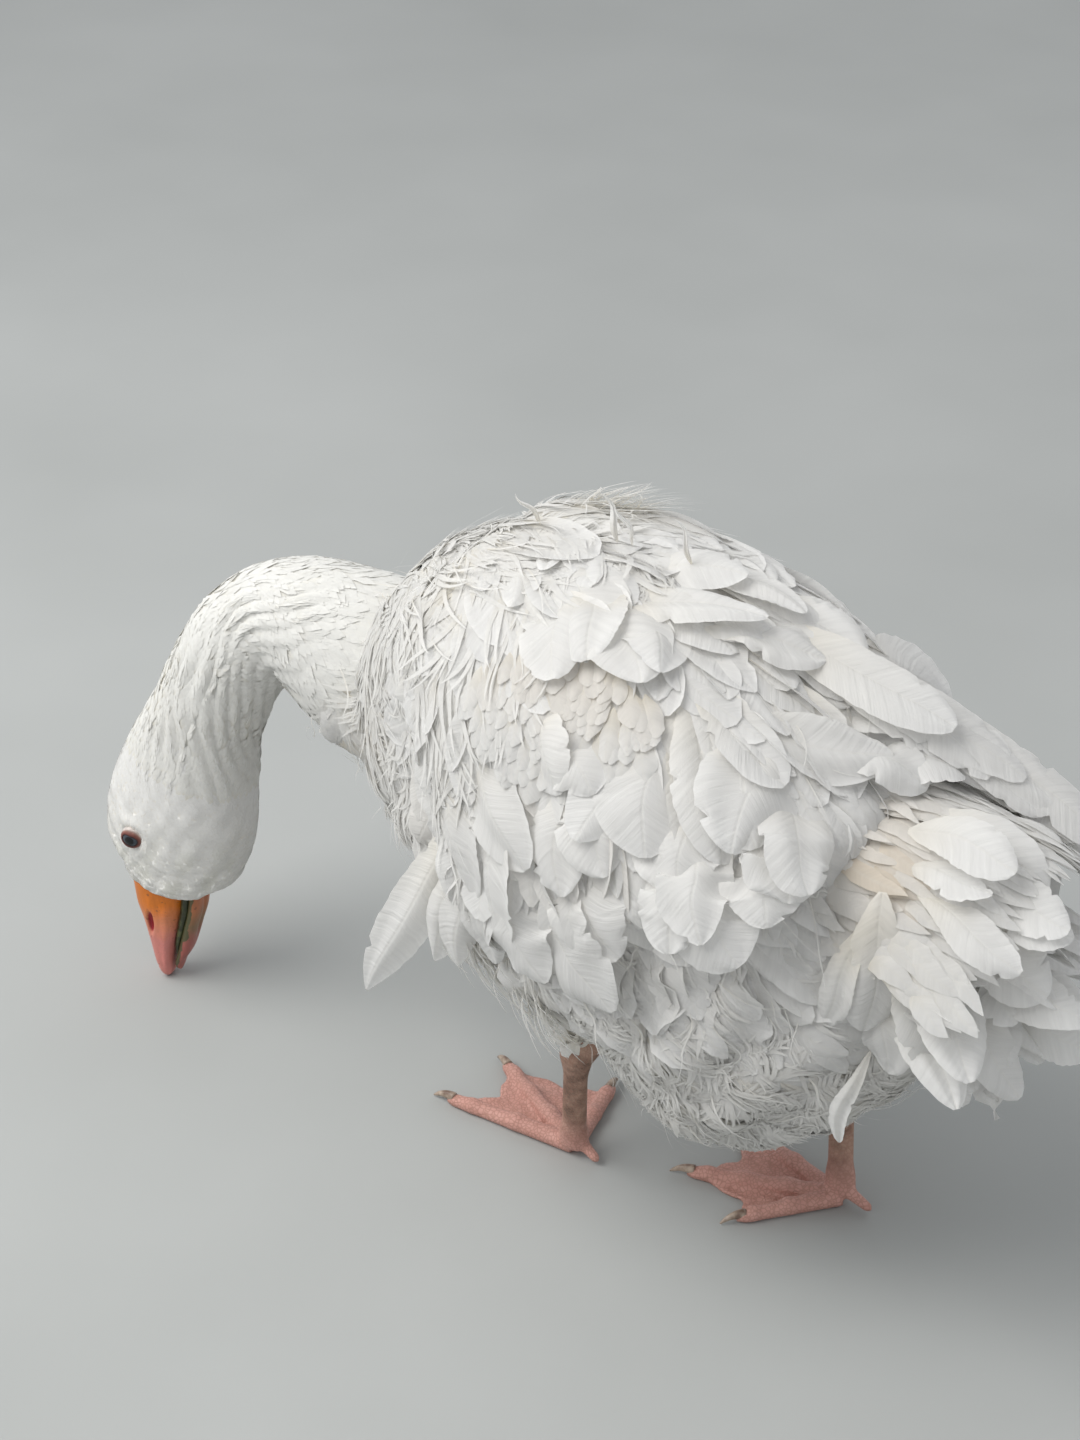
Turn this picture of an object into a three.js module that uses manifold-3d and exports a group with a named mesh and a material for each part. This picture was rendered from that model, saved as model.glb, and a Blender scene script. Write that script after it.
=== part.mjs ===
// A domestic goose with long, loose, curled feathers, standing with one foot ahead of the other and
// its neck bent down to graze. Life size, in millimetres, +Z up. The goose faces -X, its left side
// is -Y, and the finished group stands on z = 0 with its bounding box centred on the Z axis.
import * as THREE from "three";
import { mergeVertices } from "three/addons/utils/BufferGeometryUtils.js";
import Module from "manifold-3d";

const wasm = await Module();
wasm.setup();

// ---- Driving dimensions -------------------------------------------------------------------------

const gap = 0.3; // left between neighbouring solids
const vector = (x, y, z) => new THREE.Vector3(x, y, z);

// Trunk: rows of [x, back height, belly height, half width], from breast to rump.
const trunkFront = { x: -218, z: 246 };
const trunkRear = { x: 152, z: 196 };
const trunkRows = [
  [-192, 308, 168, 52],
  [-155, 344, 142, 71],
  [-100, 360, 114, 90],
  [-60, 361, 86, 100],
  [-28, 356, 56, 104],
  [0, 349, 48, 105],
  [45, 324, 56, 101],
  [90, 286, 84, 87],
  [125, 254, 118, 64],
];
const trunkBoxiness = 2.5; // exponent of the trunk's oval sections
const waistShare = 0.5; // height of the widest line between belly and back

// Neck: an arch in an upright plane that is turned from straight ahead towards the goose's left.
const neckTurn = THREE.MathUtils.degToRad(21.5);
const neckFoot = vector(-225, 0, 0);
// Rows of [distance ahead in that plane, height, radius in the plane, radius across it].
const neckRows = [
  [-50, 222, 54, 50],
  [-5, 235, 56, 51],
  [20, 244, 49.5, 45],
  [45, 253, 40, 38],
  [62, 251, 34.5, 34],
  [79, 236, 33, 33],
  [95, 208, 32, 32],
  [106, 182, 33, 32],
  [113, 162, 37.5, 32.5],
  [120, 139, 42.5, 33],
  [124.5, 118, 45.5, 32.5],
  [128, 101, 44.5, 31],
  [130.5, 87, 40.5, 28.5],
  [133.5, 74, 33, 24],
  [137, 63, 22, 17],
];
const headEnd = { ahead: 138.5, z: 55 };
const cheekFullness = 0.16; // how much wider the throat side of the head is than its crown side

// Bill: distances run from the feathers at its base to the tip, offsets towards the crown.
const billBase = { ahead: 137.5, z: 61 };
const billLength = 61.4; // a little more than the height of its base, so the tip ends in a flat
const billLean = 1.5; // how far ahead of its base the tip lies
// Rows of [distance, upper edge, lower edge, half width].
const upperBillRows = [
  [-6, 20, -16, 15],
  [6, 20, -12.5, 14.2],
  [20, 13.5, -9, 12.6],
  [36, 7.5, -5.5, 11],
  [50, 4, -3.2, 9.2],
  [57, 2.4, -2.6, 7],
];
const lowerBillRows = [
  [-4, -17.5, -25, 12],
  [8, -15, -23.5, 11.2],
  [22, -11.6, -20, 9.8],
  [38, -7.4, -14.6, 8.2],
  [50, -4.6, -9.4, 6.2],
];
const lowerBillReach = 56;

const eyeRadius = 6.6;
const eye = { ahead: 144.5, z: 110, across: 24.6 };

// Legs: ankle and hock points of the left leg, which is ahead, and of the right leg, which trails.
const ankleHeight = 9;
const leftLeg = {
  ankle: vector(-66, -28, ankleHeight),
  hock: vector(-45, -52, 97),
  hip: vector(-4, -76, 166),
  toes: [-8, 23, 72],
};
const rightLeg = {
  ankle: vector(71, 29, ankleHeight),
  hock: vector(52, 51, 92),
  hip: vector(16, 76, 166),
  toes: [-12, 24, 56],
};
const toeLengths = [82, 84, 58]; // outer, middle and inner toe, up to the claw
const toeRadius = 5;
const clawLength = 9;
const clawOverlap = 5; // how far each claw reaches back into its toe
const clawTipHeight = 1.6;
const clawRadii = [[0, 3.4], [1, 1.8]];
const hindToeLength = 15;
const hindToeTurn = 0.3; // radians between the hind toe and the line of the middle toe
const hindRootHeight = 11;
const hindTipHeight = 3;
const hindRadii = [[0, 4.2], [1, 2.2]];
const ankleTop = 14;
const webThickness = 3;
const webInset = 3; // how far the web's front edge stays behind each toe's end
const webHollow = 0.86; // reach of the web between two toes, as a share of the toes' own
const webHeel = 4;
const webHeelTurn = 0.6;
const shankDepth = 8.2;
const shankWidth = 6;
const thighRadii = [50, 26]; // at the hip and at the hock
const thighFlatness = 0.92;
const cuffDrop = 8; // how far the thigh feathers hang below the hock

// Wings: a pad that follows the trunk, inside an outline drawn from the side.
const wingPad = { side: 18, top: 14 }; // how far it swells past the trunk
const wingInnerEdge = 2; // how far each wing stays from the middle of the back
const wingReach = 200; // deeper than the pad is wide
const wingOutline = [
  [-112, 256],
  [-154, 312],
  [-120, 372],
  [-50, 402],
  [20, 398],
  [76, 344],
  [124, 296],
  [120, 262],
  [70, 246],
  [22, 214],
  [-45, 180],
  [-86, 192],
  [-98, 222],
];

const bladeThickness = 2.6; // of each feather that shapes the outline

// Tail: rows of feathers that fan out from the rump, from the uppermost to the lowest.
const tailRoot = vector(112, 0, 226);
const tailCore = { behind: 8, below: 26, length: 66, width: 50, height: 56 };
const tailFeatherRoot = 20; // how far from the tail's root each feather starts
const tailRootRise = 0.4; // millimetres that a feather starts higher for each degree of its pitch
const tailFans = [
  { pitch: 27, spread: 44, length: 100, count: 3, bow: 12, width: 50 },
  { pitch: 4, spread: 74, length: 120, count: 4, bow: 10, width: 56 },
  { pitch: -24, spread: 60, length: 116, count: 3, bow: 14, width: 56 },
  { pitch: -52, spread: 70, length: 86, count: 3, bow: 8, width: 48 },
];

// ---- Materials ----------------------------------------------------------------------------------

const finish = (color, roughness, metalness) =>
  new THREE.MeshStandardMaterial({ color, roughness, metalness });
const plumage = finish(0xeceae2, 0.9, 0);
const billHorn = finish(0xd9702f, 0.5, 0);
const legSkin = finish(0xc98a78, 0.65, 0);
const eyeGloss = finish(0x23262c, 0.15, 0);

// ---- Shape tools --------------------------------------------------------------------------------

// A smooth function through [at, value] stations that never overshoots them.
function smoothLine(stations) {
  const slopes = stations.slice(1).map(([at, value], i) => {
    const [previousAt, previousValue] = stations[i];
    return (value - previousValue) / (at - previousAt);
  });
  const tangents = stations.map((_, i) => {
    if (i === 0) return slopes[0];
    if (i === slopes.length) return slopes[i - 1];
    const [before, after] = [slopes[i - 1], slopes[i]];
    return before * after <= 0 ? 0 : (2 * before * after) / (before + after);
  });
  return (at) => {
    let i = 0;
    while (i < slopes.length - 1 && at > stations[i + 1][0]) i += 1;
    const width = stations[i + 1][0] - stations[i][0];
    const u = THREE.MathUtils.clamp((at - stations[i][0]) / width, 0, 1);
    const rise = stations[i + 1][1] - stations[i][1];
    const [start, end] = [tangents[i] * width, tangents[i + 1] * width];
    const curve = start + end - 2 * rise;
    return stations[i][1] + u * (start + u * (3 * rise - 2 * start - end + u * curve));
  };
}

const power = (value, exponent) => Math.sign(value) * Math.abs(value) ** exponent;

// A closed body made of rings: point(t, angle) places the ring at t from 0 to 1, and both end rings
// shrink to a point.
function ringBody(around, along, point) {
  const shape = new THREE.SphereGeometry(1, around, along);
  const { position } = shape.attributes;
  for (let i = 0; i < position.count; i += 1) {
    const row = Math.floor(i / (around + 1));
    const column = i % (around + 1) % around;
    const end = row === 0 || row === along;
    const place = point(row / along, end ? 0 : (column / around) * 2 * Math.PI, end);
    position.setXYZ(i, place.x, place.y, place.z);
  }
  return toSolid(shape);
}

function signedVolume(positions, triangles) {
  const [a, b, c] = [vector(), vector(), vector()];
  let sum = 0;
  for (let i = 0; i < triangles.length; i += 3) {
    a.fromArray(positions, triangles[i] * 3);
    b.fromArray(positions, triangles[i + 1] * 3);
    c.fromArray(positions, triangles[i + 2] * 3);
    sum += a.dot(b.cross(c));
  }
  return sum;
}

// A Manifold solid from a closed geometry, with its faces turned outwards.
function toSolid(geometry) {
  geometry.deleteAttribute("normal");
  geometry.deleteAttribute("uv");
  const merged = mergeVertices(geometry, 1e-4);
  const positions = merged.attributes.position.array;
  const corners = merged.index.array;
  const triangles = [];
  for (let i = 0; i < corners.length; i += 3) {
    const [a, b, c] = corners.slice(i, i + 3);
    if (a !== b && b !== c && c !== a) triangles.push(a, b, c);
  }
  if (signedVolume(positions, triangles) < 0) triangles.reverse();
  return new wasm.Manifold(
    new wasm.Mesh({
      numProp: 3,
      vertProperties: Float32Array.from(positions),
      triVerts: Uint32Array.from(triangles),
    }),
  );
}

// The largest connected piece of a solid, without the chips that a cut may leave.
function largest(solid) {
  const pieces = solid.decompose();
  return pieces.reduce((best, piece) => (piece.volume() > best.volume() ? piece : best));
}

function toMesh(name, solid, material) {
  const { numProp, vertProperties, triVerts } = largest(solid).getMesh();
  const geometry = new THREE.BufferGeometry();
  const positions = new Float32Array((vertProperties.length / numProp) * 3);
  for (let i = 0; i < positions.length; i += 1) {
    positions[i] = vertProperties[Math.floor(i / 3) * numProp + (i % 3)];
  }
  geometry.setAttribute("position", new THREE.BufferAttribute(positions, 3));
  geometry.setIndex(new THREE.BufferAttribute(Uint32Array.from(triVerts), 1));
  geometry.computeVertexNormals();
  const mesh = new THREE.Mesh(geometry, material);
  mesh.name = name;
  return mesh;
}

// Splits a solid at a plane, leaving the usual gap, into [the side the normal points to, the rest].
function part(solid, through, normal) {
  const n = normal.clone().normalize();
  const at = through.dot(n);
  return [
    solid.trimByPlane([n.x, n.y, n.z], at + gap / 2),
    solid.trimByPlane([-n.x, -n.y, -n.z], -at + gap / 2),
  ];
}

// ---- Trunk --------------------------------------------------------------------------------------

// The trunk, swollen by its arguments. Rings are spaced so that both ends come out round.
function trunkBody(side, top, around = 20, along = 17) {
  const front = trunkFront.x - Math.min(side, top);
  const rear = trunkRear.x + Math.min(side, top);
  const turn = (x) => Math.acos((front + rear - 2 * x) / (rear - front)) / Math.PI;
  const line = (column, frontValue, rearValue, swell) =>
    smoothLine([
      [0, frontValue],
      ...trunkRows.map((row) => [turn(row[0]), row[column] + swell]),
      [1, rearValue],
    ]);
  const back = line(1, trunkFront.z, trunkRear.z, top);
  const belly = line(2, trunkFront.z, trunkRear.z, -top);
  const half = line(3, 0, 0, side);
  return ringBody(around, along, (t, angle) => {
    const x = (front + rear - (rear - front) * Math.cos(Math.PI * t)) / 2;
    const [high, low] = [back(t), belly(t)];
    const middle = THREE.MathUtils.lerp(low, high, waistShare);
    const rise = power(Math.sin(angle), 2 / trunkBoxiness);
    const reach = rise > 0 ? high - middle : middle - low;
    const y = half(t) * power(Math.cos(angle), 2 / trunkBoxiness);
    return vector(x, y, middle + reach * rise);
  });
}

// ---- Neck, head and bill ------------------------------------------------------------------------

const ahead = vector(-Math.cos(neckTurn), -Math.sin(neckTurn), 0);
const across = vector(Math.sin(neckTurn), -Math.cos(neckTurn), 0); // towards the goose's left
const neckPoint = (distance, z, left = 0) =>
  neckFoot.clone().addScaledVector(ahead, distance).addScaledVector(across, left).setZ(z);

const neckSpine = new THREE.CatmullRomCurve3(
  [...neckRows.map(([s, z]) => neckPoint(s, z)), neckPoint(headEnd.ahead, headEnd.z)],
  false,
  "centripetal",
);
const neckStations = neckRows.map((_, i) => i / neckRows.length);
const neckRadius = (column, swell) =>
  smoothLine([
    [0, neckRows[0][column] + swell],
    ...neckRows.slice(1).map((row, i) => [neckStations[i + 1], row[column] + swell]),
    [1, 0],
  ]);

// Neck and head in one body. Its first ring lies deep inside the trunk, so its blunt end is hidden.
function neckBody(swell, around = 16, along = 29) {
  const inPlane = neckRadius(2, swell);
  const sideways = neckRadius(3, swell);
  return ringBody(around, along, (t, angle, end) => {
    const centre = neckSpine.getPoint(t);
    if (end) return centre;
    const tangent = neckSpine.getTangent(t);
    const crown = tangent.clone().cross(across).normalize();
    if (crown.dot(ahead) + crown.z < 0) crown.negate();
    const headShare = THREE.MathUtils.smoothstep(t, 0.55, 0.75);
    const towardCrown = Math.sin(angle);
    const cheeks = 1 - cheekFullness * headShare * towardCrown;
    return centre
      .addScaledVector(crown, inPlane(t) * towardCrown)
      .addScaledVector(across, sideways(t) * cheeks * Math.cos(angle));
  });
}

const billPoint = (distance, crownward, left) => {
  const lean = (billLean * distance) / billLength;
  return neckPoint(billBase.ahead + lean + crownward, billBase.z - distance, left);
};

// One half of the bill, from rows of [distance, upper edge, lower edge, half width] to a round tip.
function billBody(rows, reach, swell, around = 14, along = 10) {
  const first = rows[0][0];
  const last = rows[rows.length - 1];
  const turn = (distance) => Math.acos(1 - (2 * (distance - first)) / (reach - first)) / Math.PI;
  const tipOffset = (last[1] + last[2]) / 2;
  const line = (column, swollen, tip) =>
    smoothLine([
      ...rows.map((row, i) => [i ? turn(row[0]) : 0, row[column] + swollen]),
      [1, tip],
    ]);
  const upper = line(1, swell, tipOffset);
  const lower = line(2, -swell, tipOffset);
  const half = line(3, swell, 0);
  return ringBody(around, along, (t, angle, end) => {
    const distance = first + ((reach - first) * (1 - Math.cos(Math.PI * t))) / 2;
    const middle = (upper(t) + lower(t)) / 2;
    if (end) return billPoint(distance, middle, 0);
    const crownward = middle + ((upper(t) - lower(t)) / 2) * power(Math.sin(angle), 0.9);
    return billPoint(distance, crownward, half(t) * power(Math.cos(angle), 0.8));
  });
}

function eyeBall(side, swell) {
  const ball = new THREE.SphereGeometry(eyeRadius + swell, 12, 7);
  const at = neckPoint(eye.ahead, eye.z, side * eye.across);
  return toSolid(ball.translate(at.x, at.y, at.z));
}

// ---- Legs and feet ------------------------------------------------------------------------------

// A limb of round rings between two points, with a radius function and a flattening across it. The
// higher its bluntness, the less its ends taper.
function limb(from, to, radius, flat, sidewards, around = 6, along = 6, bluntness = 2.2) {
  const line = to.clone().sub(from);
  const tangent = line.clone().normalize();
  const side = sidewards.clone().projectOnPlane(tangent).normalize();
  const fore = side.clone().cross(tangent);
  return ringBody(around, along, (t, angle, end) => {
    const centre = from.clone().addScaledVector(line, (1 - Math.cos(Math.PI * t)) / 2);
    if (end) return centre;
    const share = Math.min(1, bluntness * Math.sin(Math.PI * t));
    const size = radius((1 - Math.cos(Math.PI * t)) / 2) * share;
    return centre
      .addScaledVector(side, size * flat * Math.cos(angle))
      .addScaledVector(fore, size * Math.sin(angle));
  });
}

const leftward = vector(0, -1, 0);
const upward = vector(0, 0, 1);

function thighBody(leg, swell) {
  const radius = smoothLine([
    [0, thighRadii[0] + swell],
    [1, thighRadii[1] + swell],
  ]);
  const cuff = leg.hock.clone().setZ(leg.hock.z - cuffDrop);
  return limb(leg.hip, cuff, radius, thighFlatness, leftward, 12, 7, 1.3);
}

// The bare shank, thicker at the hock and the ankle.
function shankBody(leg, swell) {
  const radius = smoothLine([
    [0, shankDepth * 1.1 + swell],
    [0.2, shankDepth * 0.92 + swell],
    [0.7, shankDepth * 0.98 + swell],
    [0.92, shankDepth * 1.4 + swell],
    [1, shankDepth * 1.3 + swell],
  ]);
  const below = leg.ankle.clone().setZ(ankleHeight * 0.55);
  return limb(below, leg.hock, radius, shankWidth / shankDepth, leftward, 8, 8);
}

// A webbed foot: three toes with claws, the web between them and the small raised hind toe. The
// toes' undersides are cut off level with the floor, so that the foot stands on flats.
function footBody(leg, side) {
  const ankle = leg.ankle.clone().setZ(toeRadius * 0.9);
  const headings = leg.toes.map(THREE.MathUtils.degToRad);
  const outward = (angle, length, z = ankle.z) => {
    const x = ankle.x - Math.cos(angle) * length;
    return vector(x, ankle.y + side * Math.sin(angle) * length, z);
  };
  const knuckles = (t) => toeRadius * (1.15 - 0.32 * t + 0.1 * Math.cos(6 * Math.PI * t));
  const solids = [];
  headings.forEach((angle, i) => {
    const knuckle = outward(angle, toeLengths[i]);
    const clawRoot = outward(angle, toeLengths[i] - clawOverlap);
    const clawTip = outward(angle, toeLengths[i] + clawLength, clawTipHeight);
    solids.push(limb(ankle, knuckle, knuckles, 1.05, upward));
    solids.push(limb(clawRoot, clawTip, smoothLine(clawRadii), 0.9, upward, 6, 4));
  });
  const hindTip = outward(headings[1] - hindToeTurn, -hindToeLength, hindTipHeight);
  const hindRoot = ankle.clone().setZ(hindRootHeight);
  solids.push(limb(hindRoot, hindTip, smoothLine(hindRadii), 1, leftward, 6, 4));
  solids.push(limb(ankle, leg.ankle.clone().setZ(ankleTop), () => ankleHeight, 0.9, leftward, 6, 5));
  solids.push(webBody(headings, (angle, length) => outward(angle, length, 0)));
  return wasm.Manifold.union(solids).trimByPlane([0, 0, 1], 0);
}

// The web: a flat sheet between the toes, with a hollow front edge from each toe to the next.
function webBody(headings, outward) {
  const outline = new THREE.Shape();
  const at = (angle, length) => {
    const { x, y } = outward(angle, length);
    return [x, y];
  };
  const ends = toeLengths.map((length) => length - webInset);
  outline.moveTo(...at(headings[0] - webHeelTurn, webHeel));
  outline.lineTo(...at(headings[0], ends[0]));
  headings.slice(1).forEach((heading, i) => {
    const between = (headings[i] + heading) / 2;
    const hollow = Math.min(ends[i], ends[i + 1]) * webHollow;
    outline.quadraticCurveTo(...at(between, hollow), ...at(heading, ends[i + 1]));
  });
  outline.lineTo(...at(headings[2] + webHeelTurn, webHeel));
  outline.closePath();
  const sheet = { depth: webThickness, bevelEnabled: false, curveSegments: 4 };
  return toSolid(new THREE.ExtrudeGeometry(outline, sheet));
}

// ---- Feathers that shape the outline ------------------------------------------------------------

// One broad feather: a thin curved blade from root to tip, bowed along its face, round at the tip.
function blade(root, tip, face, width, bow, swell = 0) {
  const line = tip.clone().sub(root);
  const side = line.clone().cross(face).normalize();
  const normal = side.clone().cross(line).normalize();
  return ringBody(6, 5, (t, angle, end) => {
    const u = (1 - Math.cos(Math.PI * t)) / 2;
    const centre = root.clone().addScaledVector(line, u);
    centre.addScaledVector(normal, bow * 4 * u * (1 - u));
    if (end) return centre;
    const breadth = (width / 2) * Math.sin(Math.PI * u ** 1.5) ** 0.5 + swell;
    const depth = (bladeThickness / 2) * Math.min(1, 3 * Math.sin(Math.PI * t)) + swell;
    return centre
      .addScaledVector(side, breadth * Math.cos(angle))
      .addScaledVector(normal, depth * Math.sin(angle));
  });
}

// ---- Wings --------------------------------------------------------------------------------------

// Loose feathers of the left wing: [root, tip, width, bow]. Those of the right wing mirror them.
const wingFeathers = [
  [[-76, -98, 228], [-137, -98, 108], 34, 9],
  [[-70, -106, 220], [-72, -104, 156], 38, 8],
  [[-30, -108, 245], [-22, -117, 168], 42, 9],
  [[-5, -108, 250], [20, -118, 184], 46, 9],
  [[30, -104, 280], [46, -115, 222], 42, 8],
  [[50, -98, 296], [66, -110, 238], 40, 8],
  [[75, -88, 290], [96, -98, 236], 44, 8],
  [[90, -76, 290], [124, -86, 250], 42, 8],
];
const breastFeathers = 2; // the first two are on the left wing only
// Flight feathers that reach over the rump, in true places, as the two wings are not alike there.
const flightFeathers = {
  left: [
    [[34, -40, 326], [126, -22, 300], 44, 7],
    [[40, -22, 326], [148, -4, 296], 40, 7],
    [[60, -56, 298], [128, -54, 264], 44, 8],
  ],
  right: [
    [[30, 60, 322], [188, 48, 264], 58, 9],
    [[46, 70, 300], [178, 64, 242], 50, 9],
    [[28, 34, 330], [152, 26, 292], 54, 10],
  ],
};
const flightFace = [0.3, 0.5, 0.8]; // which way their upper sides look: back, outward and up

function feathers(list, face, mirror, swell) {
  return list.map(([[x, y, z], [tipX, tipY, tipZ], width, bow]) => {
    const root = vector(x, y * mirror, z);
    const tip = vector(tipX, tipY * mirror, tipZ);
    return blade(root, tip, face, width, bow, swell);
  });
}

function wingBody({ name, side }, swell) {
  const [start, ...others] = wingOutline.map(([x, z]) => new THREE.Vector2(x, z));
  const outline = new THREE.Shape([start]);
  outline.splineThru([...others, start]);
  const depth = wingReach - wingInnerEdge + swell;
  const prism = new THREE.ExtrudeGeometry(outline, { depth, bevelEnabled: false, curveSegments: 2 });
  prism.rotateX(Math.PI / 2);
  prism.translate(0, -wingInnerEdge + swell, 0);
  if (side < 0) prism.scale(1, -1, 1);
  const pad = trunkBody(wingPad.side + swell, wingPad.top + swell).intersect(toSolid(prism));
  const [back, out, up] = flightFace;
  const hangingList = side > 0 ? wingFeathers : wingFeathers.slice(breastFeathers);
  const hanging = feathers(hangingList, vector(0, -side, 0), side, swell);
  const flights = feathers(flightFeathers[name], vector(back, -side * out, up), 1, swell);
  return wasm.Manifold.union([pad, ...hanging, ...flights]);
}

// ---- Tail ---------------------------------------------------------------------------------------

function tailBody() {
  const core = new THREE.SphereGeometry(1, 16, 10);
  core.scale(tailCore.length, tailCore.width, tailCore.height);
  core.translate(tailRoot.x + tailCore.behind, 0, tailRoot.z - tailCore.below);
  const solids = [toSolid(core)];
  for (const { pitch, spread, length, count, bow, width } of tailFans) {
    for (let i = 0; i < count; i += 1) {
      const turn = THREE.MathUtils.degToRad((i / (count - 1) - 0.5) * spread);
      const rise = THREE.MathUtils.degToRad(pitch);
      const out = vector(
        Math.cos(rise) * Math.cos(turn),
        Math.cos(rise) * Math.sin(turn),
        Math.sin(rise),
      );
      const face = vector(-Math.sin(rise), 0, Math.cos(rise));
      const root = tailRoot.clone().addScaledVector(out, tailFeatherRoot);
      root.z += pitch * tailRootRise;
      const tip = tailRoot.clone().addScaledVector(out, length);
      solids.push(blade(root, tip, face, width, bow));
    }
  }
  return wasm.Manifold.union(solids);
}

// ---- The goose ----------------------------------------------------------------------------------

const group = new THREE.Group();
const add = (name, solid, material) => group.add(toMesh(name, solid, material));

const sides = [
  { name: "left", side: 1, leg: leftLeg },
  { name: "right", side: -1, leg: rightLeg },
];
const upperBill = (swell) => billBody(upperBillRows, billLength, swell);
const lowerBill = (swell) => billBody(lowerBillRows, lowerBillReach, swell);

const flesh = trunkBody(0, 0)
  .add(neckBody(0))
  .subtract(upperBill(gap))
  .subtract(lowerBill(gap))
  .subtract(eyeBall(1, gap))
  .subtract(eyeBall(-1, gap));
// Cuts across the neck, from the shoulders to the nape, each square to the neck where it lies.
const [beyondBase, trunkPart] = part(flesh, neckPoint(8, 240), vector(-1, -0.2, 0.25));
const [beyondArch, neckBase] = part(beyondBase, neckPoint(50, 255), ahead);
const [lowerLength, neckArch] = part(beyondArch, neckPoint(93, 212), vector(-0.33, -0.13, -0.93));
const [head, neckUpper] = part(lowerLength, neckPoint(116, 150), vector(-0.3, -0.12, -0.95));

add("head", head, plumage);
add("neck_upper", neckUpper, plumage);
add("neck_arch", neckArch, plumage);
add("neck_base", neckBase, plumage);
add("bill_upper", upperBill(0).trimByPlane([0, 0, 1], 0), billHorn);
add("bill_lower", lowerBill(0).subtract(upperBill(gap)), billHorn);
for (const { name, side } of sides) add(`eye_${name}`, eyeBall(side, 0), eyeGloss);

let trunk = trunkPart;
let tail = tailBody().subtract(trunkBody(gap, gap));
const swollenFlesh = trunkBody(gap, gap).add(neckBody(gap));
for (const half of sides) {
  const { name, side, leg } = half;
  const foot = footBody(leg, side);
  const shank = shankBody(leg, 0).subtract(thighBody(leg, gap)).subtract(foot);
  const wingRoom = wingBody(half, gap);
  trunk = trunk.subtract(thighBody(leg, gap)).subtract(shankBody(leg, gap));
  tail = tail.subtract(wingRoom);
  add(`wing_${name}`, wingBody(half, 0).subtract(swollenFlesh), plumage);
  add(`thigh_${name}`, thighBody(leg, 0).subtract(wingRoom), plumage);
  add(`shank_${name}`, shank, legSkin);
  add(`foot_${name}`, foot, legSkin);
}
add("trunk", trunk, plumage);
add("tail", tail, plumage);

const bounds = new THREE.Box3().setFromObject(group);
const centre = bounds.getCenter(vector());
for (const mesh of group.children) mesh.geometry.translate(-centre.x, -centre.y, -bounds.min.z);

export default group;
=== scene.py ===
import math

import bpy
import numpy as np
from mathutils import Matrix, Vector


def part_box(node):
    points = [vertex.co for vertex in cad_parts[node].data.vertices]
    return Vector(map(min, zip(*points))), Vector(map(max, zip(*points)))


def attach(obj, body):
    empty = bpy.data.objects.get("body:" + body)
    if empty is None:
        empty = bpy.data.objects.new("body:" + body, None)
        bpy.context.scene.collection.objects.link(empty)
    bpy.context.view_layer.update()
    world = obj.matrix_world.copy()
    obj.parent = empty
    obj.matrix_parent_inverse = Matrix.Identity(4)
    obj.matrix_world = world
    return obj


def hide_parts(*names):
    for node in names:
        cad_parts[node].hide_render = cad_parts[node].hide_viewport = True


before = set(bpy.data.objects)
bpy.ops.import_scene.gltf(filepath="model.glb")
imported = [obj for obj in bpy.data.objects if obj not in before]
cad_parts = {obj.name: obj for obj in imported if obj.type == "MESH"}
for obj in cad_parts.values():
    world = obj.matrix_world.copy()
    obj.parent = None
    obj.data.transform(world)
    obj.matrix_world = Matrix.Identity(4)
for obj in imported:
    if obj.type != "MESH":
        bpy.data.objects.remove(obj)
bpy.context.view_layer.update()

# A white domestic goose with long, loose, curled feathers, grazing with its neck arched down. The
# goose faces -X and its left side is -Y. Sizes below are in millimetres, in the goose's own frame,
# whose origin lies on the floor between its ankles; add_mesh turns them into metres.


# ---- The goose's frame and the camera ----
# The neck bends in an upright plane that is turned to the goose's left. The left eye, in that
# plane's terms, fixes where the goose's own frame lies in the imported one.

MM = 0.001
neck_turn = math.radians(21.5)
neck_foot = np.array([-225.0, 0.0, 0.0])
ahead = np.array([-math.cos(neck_turn), -math.sin(neck_turn), 0.0])
across = np.array([math.sin(neck_turn), -math.cos(neck_turn), 0.0])  # towards the goose's left
up = np.array([0.0, 0.0, 1.0])


def neck_point(distance, height, left=0.0):
    """A point from its distance ahead in the neck's plane, its height, and its offset leftward."""
    distance, height, left = (np.asarray(v, float)[..., None] for v in (distance, height, left))
    return neck_foot + ahead * distance + across * left + up * height


eye = {"ahead": 144.5, "z": 110.0, "across": 24.6, "radius": 6.6}
eye_low, eye_high = (np.array(corner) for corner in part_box("eye_left"))
origin = (eye_low + eye_high) / 2 - neck_point(eye["ahead"], eye["z"], eye["across"]) * MM

camera_place = np.array([834.1, -1129.4, 1128.8])
camera_heading = math.radians(40)  # turned from +Y towards -X
camera_pitch = math.radians(31)  # below the horizon
camera_data = bpy.data.cameras.new("camera")
camera_data.lens = 82.5
camera_data.sensor_width = 36
camera_data.sensor_fit = "AUTO"


def in_scene(name, data):
    made = bpy.data.objects.new(name, data)
    bpy.context.scene.collection.objects.link(made)
    return made


camera = in_scene("camera", camera_data)
camera.location = camera_place * MM + origin
camera.rotation_euler = (math.pi / 2 - camera_pitch, 0, camera_heading)
bpy.context.scene.camera = camera


# ---- Skin ----
# One skin from the rump to the base of the bill, as rings carried along the spine. Under the
# feathers it lies inside the solids by the depth of the coat, and farther in where the belly is
# tucked up in front; on the head it is almost the surface.

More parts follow.
